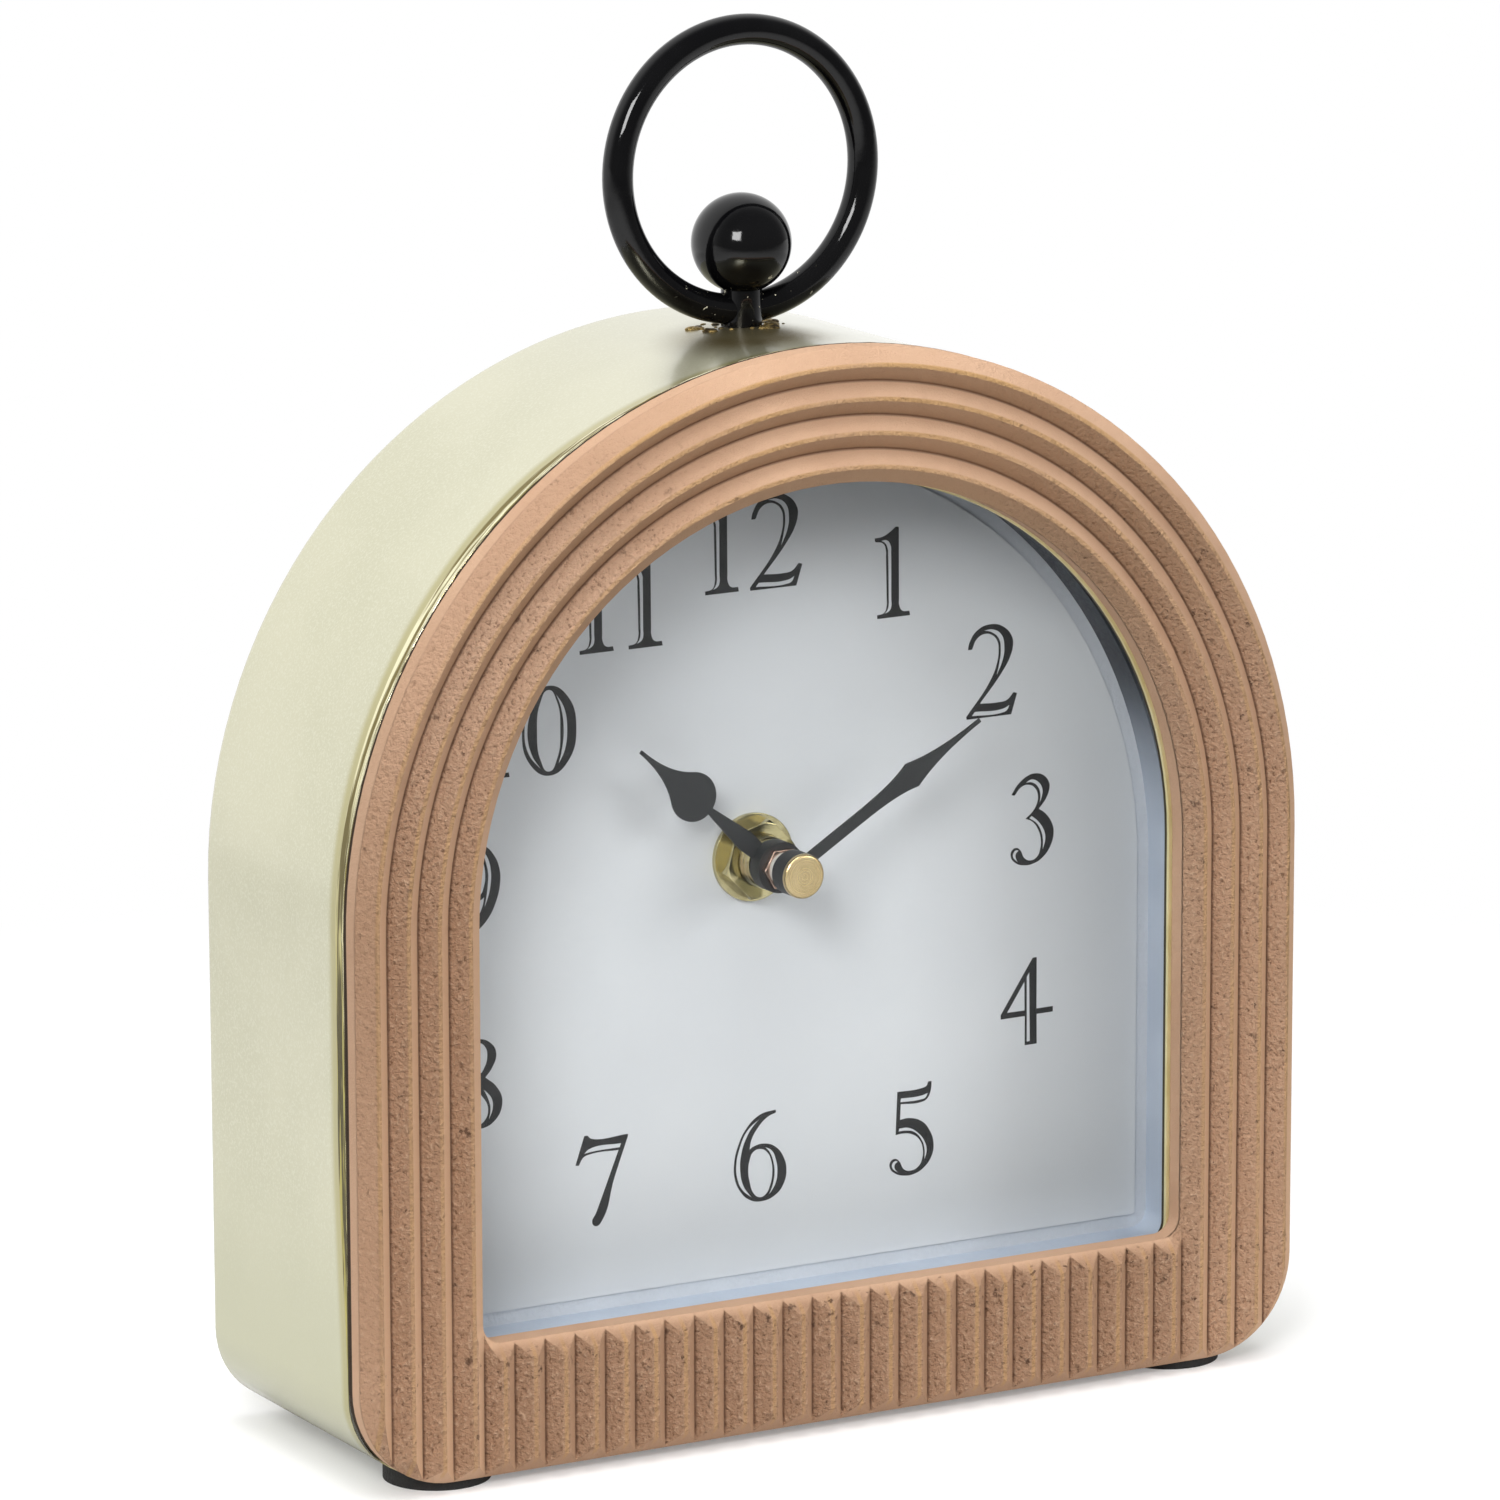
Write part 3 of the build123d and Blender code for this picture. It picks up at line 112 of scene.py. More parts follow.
# Numeral outlines in millimetres about each numeral's middle, as X and Z. A third value marks a corner.
# The first outline is the figure, and the others are its openings and white inlines.
TURN = 1
FIGURES = {
    "0": [
        [(4.55, 0), (3.22, 4.79), (0, 6.78), (-3.22, 4.79), (-4.55, 0), (-3.22, -4.79), (0, -6.78),
         (3.22, -4.79)],
        [(1.87, 0), (1.30, 4.35), (-0.08, 6.15), (-1.46, 4.35), (-2.03, 0), (-1.46, -4.35), (-0.08, -6.15),
         (1.30, -4.35)],
        [(-1.6, 5.5, TURN), (-3.4, 3.3), (-4.13, 0), (-3.4, -3.3), (-1.4, -5.7, TURN),
         (-2.95, -3.3), (-3.63, 0), (-2.95, 3.3)],
        [(1.2, 5.4, TURN), (2.5, 3.3), (3.03, 0), (2.55, -3.3), (1.5, -5.2, TURN),
         (2.05, -3.3), (2.42, 0), (2.0, 3.3)],
    ],
    "1": [
        [(0.34, 7.02, TURN), (0.88, 6.93, TURN), (0.94, -4.0), (0.96, -5.0), (1.5, -5.96), (2.75, -6.11, TURN),
         (2.89, -6.8, TURN), (-2.85, -6.86, TURN), (-2.88, -6.29, TURN), (-1.63, -6.0), (-1.2, -4.9),
         (-1.21, -3.9), (-1.34, 2.5), (-1.36, 3.5), (-1.8, 4.57), (-3.23, 4.96, TURN), (-3.32, 5.52, TURN),
         (-1.89, 5.68), (-0.55, 6.36)],
        [(-2.16, 5.07, TURN), (-1.14, 5.04), (-0.5, 4.13), (-0.44, 3.1), (-0.40, -4.0), (-0.38, -5.07),
         (-0.64, -5.7), (-1.54, -6.18, TURN), (-1.04, -5.52), (-0.86, -4.71), (-0.87, -3.7), (-0.98, 2.8),
         (-1.05, 3.77), (-1.5, 4.66)],
    ],
    "2": [
        [(-4.21, 3.77, TURN), (-3.95, 4.84), (-2.61, 6.63), (-0.11, 7.39), (2.21, 6.71), (3.64, 5.02),
         (3.79, 3.9), (3.29, 2.07), (1.95, -0.07), (-2.07, -4.75, TURN), (1.14, -4.86), (2.75, -4.63),
         (3.91, -3.55, TURN), (4.54, -3.73, TURN), (3.5, -6.95, TURN), (-4.39, -7.0, TURN),
         (-4.48, -6.59, TURN), (-0.2, -1.32), (0.93, 1.18), (1.23, 3.14), (1.0, 4.66), (0.07, 5.68),
         (-1.18, 6.0), (-2.61, 5.38), (-3.5, 3.77, TURN)],
        [(-1.36, 6.54, TURN), (0.25, 6.54), (1.77, 5.55), (2.25, 3.6), (2.04, 1.89), (0.88, -0.7, TURN),
         (1.35, 1.3), (1.6, 3.23), (1.25, 5.05), (0.07, 6.1)],
        [(-3.5, -6.54, TURN), (1.86, -6.54), (2.75, -6.23), (3.2, -5.43, TURN), (2.21, -5.88),
         (-2.96, -5.93, TURN)],
    ],
    "3": [
        [(-3.68, 4.13, TURN), (-2.43, 5.73), (-0.82, 6.8), (0.52, 7.07), (2.04, 6.63), (3.02, 5.46),
         (3.14, 4.66), (2.57, 3.05), (1.23, 1.45, TURN), (2.48, 0.55), (3.64, -1.14), (3.91, -2.39),
         (3.46, -4.36), (1.86, -6.32), (0.25, -7.04), (-1.18, -7.16), (-2.96, -6.59), (-3.77, -5.43),
         (-3.5, -4.54), (-2.7, -4.27), (-1.98, -4.8), (-1.36, -5.96), (-0.29, -6.5), (0.96, -6.05),
         (1.55, -4.71), (1.6, -3.29), (1.16, -1.86), (0.07, -0.44), (-1.14, 0.11, TURN), (0.25, 1.27),
         (0.9, 2.34), (1.07, 3.5), (0.55, 4.75), (-0.64, 5.4), (-1.89, 5.2), (-3.14, 3.95, TURN)],
        [(-1.09, 5.79, TURN), (-0.11, 6.18), (1.14, 5.64), (1.86, 4.48), (1.77, 3.32), (1.36, 2.34, TURN),
         (1.5, 3.59), (1.1, 4.84), (0.07, 5.68)],
        [(-0.46, 0.14, TURN), (-0.02, 0.46, TURN), (1.32, -0.7), (2.25, -2.21), (2.43, -3.46),
         (1.95, -5.07, TURN), (1.98, -3.46), (1.65, -2.04), (0.79, -0.72)],
        [(-2.34, -4.75, TURN), (-2.8, -4.62), (-3.26, -4.98), (-3.35, -5.6), (-2.52, -6.5, TURN),
         (-2.88, -5.7), (-2.8, -5.16)],
    ],
    "4": [
        [(0.88, 6.63, TURN), (1.59, 6.63, TURN), (1.59, -1.5, TURN), (4.54, -1.46, TURN),
         (4.54, -2.32, TURN), (1.62, -2.36, TURN), (1.66, -7.04, TURN), (-0.5, -7.07, TURN),
         (-0.5, -2.44, TURN), (-4.84, -2.48, TURN), (-4.84, -1.8, TURN)],
        [(-3.7, -1.55, TURN), (-0.55, -1.55, TURN), (-0.6, 3.0, TURN)],
        [(-0.2, 3.7, TURN), (0.26, 4.39, TURN), (0.42, -6.5, TURN), (-0.13, -6.54, TURN)],
    ],
    "5": [
        [(-2.52, 6.0, TURN), (1.86, 6.09), (2.66, 6.36), (2.93, 6.98, TURN), (3.55, 6.98, TURN), (3.38, 5.46),
         (2.75, 4.3), (1.86, 3.92), (-1.93, 4.0, TURN), (-2.04, 1.57, TURN), (-0.29, 1.62), (1.86, 0.82),
         (3.29, -0.88), (3.91, -2.75), (3.64, -4.71), (2.21, -6.5), (0.43, -7.3), (-1.18, -7.36),
         (-2.96, -6.77), (-3.86, -5.7), (-3.68, -4.8), (-2.88, -4.5), (-2.16, -4.98), (-1.36, -6.32),
         (-0.11, -6.71), (1.32, -6.14), (1.96, -4.89), (2.0, -3.46), (1.43, -2.04), (0.07, -0.98),
         (-1.71, -0.66), (-2.82, -0.75, TURN)],
        [(-1.98, 4.32, TURN), (-1.89, 4.89, TURN), (1.86, 4.93), (2.89, 5.2, TURN), (2.45, 4.5), (1.68, 4.32)],
        [(-2.29, -0.25, TURN), (-2.16, 0.2, TURN), (-0.64, 0.14), (1.14, -0.88), (2.42, -2.57), (2.7, -4.0),
         (2.3, -5.25, TURN), (2.3, -3.5), (1.78, -2.04), (0.43, -0.64), (-1.0, -0.27)],
        [(-2.43, -5.0, TURN), (-2.85, -4.84), (-3.38, -5.16), (-3.43, -5.8), (-2.43, -6.71, TURN),
         (-3.0, -5.88), (-2.9, -5.34)],
    ],
    "6": [
        [(2.57, 6.8, TURN), (2.66, 6.36, TURN), (1.14, 5.82), (-0.64, 4.21), (-1.63, 2.61), (-1.98, 1.1, TURN),
         (-1.3, 1.5), (0.61, 1.75), (2.57, 1.0), (4.0, -0.88), (4.45, -2.75), (4.0, -4.89), (2.57, -6.5),
         (0.07, -7.21), (-2.07, -6.68), (-3.68, -5.07), (-4.57, -2.93), (-4.66, -0.96), (-4.04, 1.71),
         (-2.43, 4.57), (-0.11, 6.36)],
        [(-1.98, -0.61), (-1.36, 0.64), (-0.11, 1.0), (1.14, 0.29), (1.82, -1.14), (2.0, -2.93), (1.62, -4.89),
         (0.79, -6.25), (-0.2, -6.55), (-1.27, -5.79), (-1.98, -3.82), (-2.2, -2.21)],
        [(0.61, 6.12, TURN), (-1.0, 5.02), (-2.61, 2.79), (-3.41, 0.46), (-3.59, -1.86), (-3.05, -4.36),
         (-1.63, -6.41, TURN), (-3.32, -4.9), (-4.13, -3.0), (-4.28, -1.1), (-3.75, 1.36), (-2.25, 4.21)],
        [(0.75, 1.2, TURN), (1.95, 0.46), (2.66, -1.14), (2.89, -2.93), (2.57, -4.71), (1.41, -6.4, TURN),
         (2.1, -4.7), (2.38, -2.93), (2.18, -1.32), (1.55, 0.3)],
    ],
    "7": [
        [(-2.82, 7.25, TURN), (-2.29, 7.25, TURN), (-1.6, 6.68), (4.61, 6.64, TURN), (4.6, 6.3, TURN),
         (2.2, 0.0), (0.1, -6.2), (-0.9, -6.96), (-1.57, -6.32), (-0.9, -4.9), (3.0, 4.36, TURN),
         (-1.93, 4.3), (-3.0, 3.95), (-3.79, 2.79, TURN), (-4.36, 2.86, TURN)],
        [(-2.85, 4.5, TURN), (-2.07, 5.11), (3.42, 5.36, TURN), (3.2, 4.75, TURN), (-1.64, 4.66)],
    ],
    "8": [
        [(0.2, 6.85), (2.5, 6.0), (3.35, 4.3), (2.6, 2.2), (1.5, 0.9, TURN), (3.4, -0.8), (4.3, -3.1),
         (3.0, -5.9), (0, -6.85), (-3.0, -5.9), (-4.2, -3.5), (-3.3, -1.2), (-1.9, 0.3, TURN), (-3.0, 1.9),
         (-3.4, 3.7), (-2.3, 5.9)],
        [(0.4, 6.3), (1.6, 5.4), (1.85, 4.1), (1.4, 2.5), (0.5, 1.6), (-0.6, 2.6), (-1.2, 4.2), (-0.8, 5.7)],
        [(-0.6, -0.7), (0.9, -1.9), (1.9, -3.9), (1.3, -5.7), (-0.2, -6.3), (-2.0, -5.5), (-2.7, -3.6),
         (-1.9, -1.7)],
        [(-2.0, 5.6, TURN), (-1.7, 4.4), (-1.7, 3.4), (-0.9, 1.8, TURN), (-2.3, 2.6), (-2.7, 3.8)],
        [(1.2, -0.9, TURN), (2.5, -2.4), (2.7, -3.9), (2.0, -5.7, TURN), (2.3, -4.0), (2.0, -2.6)],
        [(-2.3, -0.9, TURN), (-3.1, -2.3), (-3.2, -4.0), (-2.4, -5.7, TURN), (-3.6, -4.3), (-3.5, -2.3)],
    ],
    "9": [
        [(-2.57, -6.8, TURN), (-2.66, -6.36, TURN), (-1.14, -5.82), (0.64, -4.21), (1.63, -2.61),
         (1.98, -1.1, TURN), (1.3, -1.5), (-0.61, -1.75), (-2.57, -1.0), (-4.0, 0.88), (-4.45, 2.75),
         (-4.0, 4.89), (-2.57, 6.5), (-0.07, 7.21), (2.07, 6.68), (3.68, 5.07), (4.57, 2.93), (4.66, 0.96),
         (4.04, -1.71), (2.43, -4.57), (0.11, -6.36)],
        [(1.98, 0.61), (1.36, -0.64), (0.11, -1.0), (-1.14, -0.29), (-1.82, 1.14), (-2.0, 2.93), (-1.62, 4.89),
         (-0.79, 6.25), (0.2, 6.55), (1.27, 5.79), (1.98, 3.82), (2.2, 2.21)],
        [(-1.6, 6.1, TURN), (-2.7, 4.7), (-3.1, 2.8), (-2.8, 1.0), (-1.6, -0.7, TURN), (-3.2, 1.0),
         (-3.65, 2.8), (-3.2, 4.8)],
        [(1.7, 6.2, TURN), (2.7, 4.6), (3.15, 2.6), (3.1, 0.9), (2.75, -0.8), (2.0, -2.7, TURN), (2.38, -0.8),
         (2.6, 0.9), (2.65, 2.6), (2.2, 4.5)],
    ],
}

# Where each hour's figures stand, as X and Z in millimetres from the hand axis
HOURS = {
    1: [("1", 24.7, 41.0)],
    2: [("2", 42.0, 24.0)],
    3: [("3", 49.3, 0.3)],
    4: [("4", 48.7, -28.2)],
    5: [("5", 28.0, -45.8)],
    6: [("6", 1.5, -46.6)],
    7: [("7", -26.0, -46.9)],
    8: [("8", -46.9, -29.4)],
    9: [("9", -47.3, 0.0)],
    10: [("1", -43.8, 23.4), ("0", -34.25, 22.85)],
    11: [("1", -26.2, 40.6), ("1", -17.95, 40.6)],
    12: [("1", -4.95, 47.5), ("2", 4.3, 47.6)],
}
PRINT_THICK = 0.03 * MM

# Thread on the bush
THREAD_PITCH = 0.8 * MM
THREAD_DEPTH = 0.35 * MM
THREAD_GAP = 0.05 * MM
BUSH_BORE = 2.55 * MM
BUSH_FLANGE = 1.0 * MM
SPIN_STEPS = 96

# Weld lumps under the finial
WELD_LUMPS = 46
WELD_RADIUS = 0.8 * MM
WELD_SPREAD = 2.6 * MM
WELD_STRETCH = 1.35
WELD_SEED = 7
LUMP_SIZES = (0.25, 1.0)
LUMP_WIDTHS = (0.8, 1.9)
LUMP_DEPTHS = (0.7, 1.4)
LUMP_HEIGHT = 0.55

# Crinkled bead along the plate's outer edge
BEAD_RADIUS = 0.56 * MM
BEAD_STEP = 0.8 * MM
BEAD_START = 14.0 * MM
BEAD_TAPER = 20.0 * MM
BEAD_CLIMB = 100.0 * MM
BEAD_SIDES = 10
BEAD_WAVES = 7
BEAD_RATES = (0.25, 2.2)
BEAD_EVEN = 0.88
BEAD_CRINKLE = 0.30
BEAD_FOOT = 0.55
BEAD_TIP = 0.1
BEAD_SEED = 11


# Node helpers
def put(tree, socket, value):
    """Gives a socket a value, or a link from another node's socket."""
    if isinstance(value, bpy.types.NodeSocket):
        tree.links.new(value, socket)
    else:
        socket.default_value = value


def add(tree, kind, inputs=None, **settings):
    """A node with its settings and its inputs."""
    piece = tree.nodes.new(kind)
    for name, value in settings.items():
        setattr(piece, name, value)
    for key, value in (inputs or {}).items():
        put(tree, piece.inputs[key], value)
    return piece


def math_node(tree, operation, first, second=0.0):
    """A sum or other operation on two values."""
    return add(tree, "ShaderNodeMath", {0: first, 1: second}, operation=operation).outputs[0]


def product(tree, first, *others):
    """Several values multiplied together."""
    for other in others:
        first = math_node(tree, "MULTIPLY", first, other)
    return first


def largest(tree, first, *others):
    """The largest of several values."""
    for other in others:
        first = math_node(tree, "MAXIMUM", first, other)
    return first


def less(tree, first, second):
    """The first value less the second."""
    return math_node(tree, "SUBTRACT", first, second)


def shares(tree, first, first_share, second, second_share):
    """Two values added, each times its share."""
    inputs = {0: first, 1: first_share, 2: product(tree, second, second_share)}
    return add(tree, "ShaderNodeMath", inputs, operation="MULTIPLY_ADD").outputs[0]


def fade(tree, value, start, end, low=0.0, high=1.0):
    """A smooth change from low to high while a value goes from start to end."""
    inputs = {"Value": value, "From Min": start, "From Max": end, "To Min": low, "To Max": high}
    return add(tree, "ShaderNodeMapRange", inputs, interpolation_type="SMOOTHSTEP").outputs[0]


def between(tree, share, low, high):
    """A smooth change from low to high while a share goes from 0 to 1."""
    return fade(tree, share, 0.0, 1.0, low, high)


def tint(tone):
    """A tone with its alpha, or a socket as it is."""
    return tone if isinstance(tone, bpy.types.NodeSocket) else (*tone, 1.0)


def blend(tree, share, first, second):
    """A mix of two tones."""
    inputs = {"Factor": share, 6: tint(first), 7: tint(second)}
    return add(tree, "ShaderNodeMix", inputs, data_type="RGBA").outputs[2]


def coats(tree, tone, *layers):
    """A tone with further tones laid over it, each by its own share."""
    for share, layer in layers:
        tone = blend(tree, share, tone, layer)
    return tone


def axes(tree, vector):
    """X, Y and Z of a place or a direction."""
    return add(tree, "ShaderNodeSeparateXYZ", {0: vector}).outputs


def measure(tree, operation, first, second=(0.0, 0.0, 0.0)):
    """A length, a distance or a dot product."""
    return add(tree, "ShaderNodeVectorMath", {0: first, 1: second}, operation=operation).outputs["Value"]


def true_normal(tree):
    return add(tree, "ShaderNodeNewGeometry").outputs["True Normal"]


def object_coordinates(tree):
    return add(tree, "ShaderNodeTexCoord").outputs["Object"]


def stretch(tree, place, scale):
    """Coordinates for a pattern that is drawn out along some axes."""
    return add(tree, "ShaderNodeMapping", {0: place, "Scale": scale}).outputs[0]


def noise(tree, place, scale, detail=4.0, roughness=0.55):
    inputs = {"Vector": place, "Scale": scale, "Detail": detail, "Roughness": roughness}
    return add(tree, "ShaderNodeTexNoise", inputs).outputs[0]


def bump(tree, height, distance, strength=1.0, normal=None):
    """A bump of a depth in metres, over another normal where one is given."""
    inputs = {"Height": height, "Distance": distance, "Strength": strength}
    if normal is not None:
        inputs["Normal"] = normal
    return add(tree, "ShaderNodeBump", inputs).outputs[0]


def across_arch(tree, place):
    """Distance from the clock's middle line, and above the sides from the arch's centre."""
    x, _, height = axes(tree, place)
    rise = largest(tree, less(tree, height, arch_z), 0.0)
    return measure(tree, "LENGTH", add(tree, "ShaderNodeCombineXYZ", {0: x, 2: rise}).outputs[0])


def new_material(name):
    """A material with its Principled shader, its tree and its object coordinates."""
    material = bpy.data.materials.new(name)
    material.use_nodes = True
    tree = material.node_tree
    return material, tree, tree.nodes["Principled BSDF"], object_coordinates(tree)


def feed(tree, shader, **inputs):
    """Values or sockets for the shader, with underscores for the blanks in its socket names."""
    for name, value in inputs.items():
        put(tree, shader.inputs[name.replace("_", " ")], value)


# Shared effects
def new_group(name, inputs, outputs):
    """An empty shader node group with named sockets."""
    tree = bpy.data.node_groups.new(name, "ShaderNodeTree")
    kinds = {"value": "NodeSocketFloat", "vector": "NodeSocketVector"}
    for socket, kind in inputs.items():
        tree.interface.new_socket(name=socket, in_out="INPUT", socket_type=kinds[kind])
    for socket, kind in outputs.items():
        tree.interface.new_socket(name=socket, in_out="OUTPUT", socket_type=kinds[kind])
    return tree, tree.nodes.new("NodeGroupInput").outputs, tree.nodes.new("NodeGroupOutput").inputs


def make_grain_group():
    """Fine grain over large soft blotches, as masks from 0 to 1."""
    tree, given, out = new_group(
        "grain",
        {"Place": "vector", "Fine Scale": "value", "Broad Scale": "value"},
        {"Fine": "value", "Broad": "value"},
    )
    fine = noise(tree, given["Place"], given["Fine Scale"], 3.0, 0.6)
    broad = noise(tree, given["Place"], given["Broad Scale"], 4.0, 0.5)
    put(tree, out["Fine"], fade(tree, fine, 0.3, 0.7))
    put(tree, out["Broad"], fade(tree, broad, 0.35, 0.65))
    return tree


def make_edge_group():
    """Where the surface bends within a radius, as a mask, and the normal rounded over it."""
    tree, given, out = new_group("soft_edges", {"Radius": "value"}, {"Edge": "value", "Normal": "vector"})
    rounded = add(tree, "ShaderNodeBevel", {"Radius": given["Radius"]}, samples=6).outputs[0]
    bend = measure(tree, "DOT_PRODUCT", rounded, true_normal(tree))
    put(tree, out["Edge"], fade(tree, bend, 0.995, 0.8))
    put(tree, out["Normal"], rounded)
    return tree


def make_ring_group():
    """Fine turning rings about an axis along Y, as a mask from 0 to 1."""
    tree, given, out = new_group(
        "turned_rings",
        {"Place": "vector", "Axis Height": "value", "Rings": "value"},
        {"Ring": "value"},
    )
    x, depth, height = axes(tree, given["Place"])
    height = less(tree, height, given["Axis Height"])
    radius = measure(tree, "LENGTH", add(tree, "ShaderNodeCombineXYZ", {0: x, 2: height}).outputs[0])
    along = add(tree, "ShaderNodeCombineXYZ", {0: radius, 1: depth}).outputs[0]
    put(tree, out["Ring"], noise(tree, along, given["Rings"], 2.0, 0.7))
    return tree


GRAIN = make_grain_group()
SOFT_EDGES = make_edge_group()
TURNED_RINGS = make_ring_group()


def use_group(tree, group, inputs):
    """The outputs of a shared group placed in a material."""
    return add(tree, "ShaderNodeGroup", inputs, node_tree=group).outputs


def grain_masks(tree, place, fine_scale, broad_scale):
    return use_group(tree, GRAIN, {"Place": place, "Fine Scale": fine_scale, "Broad Scale": broad_scale})


def soft_edges(tree, radius):
    return use_group(tree, SOFT_EDGES, {"Radius": radius})


# Finish of the frame
def frame_zones(tree, place):
    """Places and masks on the routed board: its front, rail, sill, flutes and torn slopes."""
    zone = SimpleNamespace()
    zone.x, zone.depth, zone.height = axes(tree, place)
    zone.turn_x, turn_y, zone.turn_z = axes(tree, true_normal(tree))
    zone.across = across_arch(tree, place)
    zone.front = fade(tree, zone.depth, *FRONT_FACE)
    zone.below = fade(tree, zone.height, *BELOW_WINDOW)
    under_window = fade(tree, math_node(tree, "ABSOLUTE", zone.x), *UNDER_WINDOW)
    zone.rail = product(tree, zone.below, zone.front, under_window)
    zone.sill = product(tree, fade(tree, zone.turn_z, 0.25, 0.6), zone.below)
    routed = largest(tree, zone.below, fade(tree, zone.across, *BESIDE_WINDOW))
    fluted = product(tree, routed, fade(tree, zone.across, *OFF_BEVEL), fade(tree, zone.height, *OFF_FOOT),
                     zone.front)
    wave = math_node(tree, "PINGPONG", math_node(tree, "DIVIDE", zone.across, FLUTE_PITCH), 0.5)
    # Roots of the flutes, which take painted shade, and their crests.
    zone.root = product(tree, fade(tree, wave, 0.07, 0.01), fluted)
    zone.crest = product(tree, fade(tree, wave, 0.41, 0.46), fluted)
    lands = product(tree, fade(tree, turn_y, -0.85, -0.97), fluted)
    slopes = largest(tree, fade(tree, zone.turn_x, -0.15, -0.45), product(tree, lands, 0.8),
                     product(tree, zone.sill, 0.4))
    zone.torn = product(tree, slopes, zone.front, fade(tree, zone.across, *NEAR_BEVEL, 0.4, 1.0),
                        fade(tree, zone.height, 110 * MM, 155 * MM, 1.0, 0.45))
    return zone


def frame_pits(tree, place, zone):
    """Small hollows in the torn paint and along the tops of the rail's flutes, as a mask."""
    tops = product(tree, fade(tree, zone.height, *FLUTE_TOPS), zone.below, zone.front)
    spoilt = fade(tree, noise(tree, place, 150.0, 3.0), 0.48, 0.61)
    spoilt = largest(tree, spoilt, product(tree, tops, 0.7))
    hollow = fade(tree, noise(tree, place, 620.0, 4.0, 0.72), 0.385, 0.32)
    return product(tree, hollow, spoilt, largest(tree, zone.torn, tops))


def frame_lands(tree, zone, patches):
    """Tones of the smooth paint: painted light on slopes that face right, painted shade on slopes that face
    left, and darker on the rail.
    """
    # Painted light: slopes that face right, below the arch, are lighter.
    right = product(tree, fade(tree, zone.turn_x, 0.15, 0.45),
                    fade(tree, zone.height, arch_z + 30 * MM, arch_z - 10 * MM))
    # Painted shade: slopes that face left are darker, in the same tone as the rail.
    left = product(tree, fade(tree, zone.turn_x, -0.1, -0.4), zone.front,
                   fade(tree, zone.height, arch_z + 115 * MM, arch_z + 50 * MM))
    return coats(
        tree, blend(tree, patches, (0.57, 0.356, 0.230), (0.63, 0.405, 0.268)),
        (right, (0.65, 0.408, 0.256)),
        (largest(tree, left, product(tree, zone.rail, 0.8)), (0.43, 0.258, 0.160)),
    )


def frame_tears(tree, zone, patches, lumps):
    """Tones of the torn paint: paler up the arch, painted light towards the right, painted highlights on the
    lumps and painted shade in the gaps between them.
    """
    return coats(
        tree, blend(tree, patches, (0.43, 0.252, 0.152), (0.49, 0.296, 0.186)),
        (fade(tree, zone.height, 90 * MM, 132 * MM), (0.67, 0.428, 0.290)),
        # Painted light: the torn paint is paler towards the right side.
        (fade(tree, zone.x, 45 * MM, 72 * MM, 0.0, 0.55), (0.62, 0.390, 0.255)),
        (product(tree, zone.rail, 0.4), (0.38, 0.222, 0.135)),
        (product(tree, zone.sill, 0.3), (0.29, 0.165, 0.098)),
        # Painted highlight on the raised lumps and painted shade in the gaps, from the same noise as the bump.
        (fade(tree, lumps, 0.54, 0.68, 0.0, 0.45), (0.70, 0.48, 0.33)),
        (fade(tree, lumps, 0.43, 0.29, 0.0, 0.8), (0.20, 0.105, 0.058)),
    )


def frame_seam(tree, zone):
    """The dark line along the board's back edge, wider towards the foot, as a mask."""
    width = fade(tree, zone.height, 60 * MM, 120 * MM, 1.1 * MM, 0.5 * MM)
    past = less(tree, less(tree, board_high[1], zone.depth), width)
    return product(tree, fade(tree, past, 0.1 * MM, -0.1 * MM), fade(tree, zone.across, *OUTER_BAND))


def frame_paint():
    """Matte terracotta paint on a routed board: torn slopes, smooth tan lands, painted shade in the flutes'
    roots and on the arch's down-facing slopes, pits and seam.
    """
    material, tree, shader, place = new_material("frame_paint")
    zone = frame_zones(tree, place)
    lumps = noise(tree, place, 1400.0, 3.0, 0.6)
    fibres = noise(tree, stretch(tree, place, (1.0, 2.2, 0.7)), 4200.0)
    broad = noise(tree, place, 45.0, 4.0, 0.6)
    patches = fade(tree, broad, 0.3, 0.7)
    pits = frame_pits(tree, place, zone)
    # Painted shade: slopes that face down on the arch are darker.
    under = product(tree, fade(tree, zone.turn_z, -0.15, -0.5), zone.front,
                    fade(tree, zone.height, arch_z, arch_z + 25 * MM, 0.0, 0.6))
    worn = product(tree, zone.crest, fade(tree, broad, 0.30, 0.60, 0.2, 0.55),
                   fade(tree, zone.height, 135 * MM, 160 * MM, 1.0, 1.6))
    paint = coats(
        tree, frame_lands(tree, zone, patches),
        (zone.torn, frame_tears(tree, zone, patches, lumps)),
        (under, (0.37, 0.222, 0.120)),
        (worn, (0.54, 0.318, 0.130)),
        # Painted shade along the roots of the flutes.
        (product(tree, zone.root, 0.75), (0.17, 0.080, 0.045)),
        (product(tree, pits, 0.8), (0.11, 0.050, 0.030)),
        (frame_seam(tree, zone), (0.035, 0.020, 0.010)),
    )
    feed(tree, shader, Base_Color=paint, Roughness=fade(tree, fibres, 0.3, 0.7, 0.72, 0.92))
    feed(tree, shader, Specular_IOR_Level=0.25)
    height = product(tree, lumps, between(tree, zone.torn, 0.12, 1.0))
    height = math_node(tree, "ADD", height, product(tree, fibres, 0.12))
    height = less(tree, height, product(tree, pits, 0.5))
    edges = soft_edges(tree, 0.45 * MM)
    feed(tree, shader, Normal=bump(tree, height, 1.7 * MM, 1.0, edges["Normal"]))
    return material


# Finishes of the case and the plate
def streaks(tree, place, scale, start, end):
    """Crinkles drawn out along the case's edge, as a mask."""
    return fade(tree, noise(tree, stretch(tree, place, (0.035, 1.0, 0.035)), scale, 3.0, 0.6), start, end)


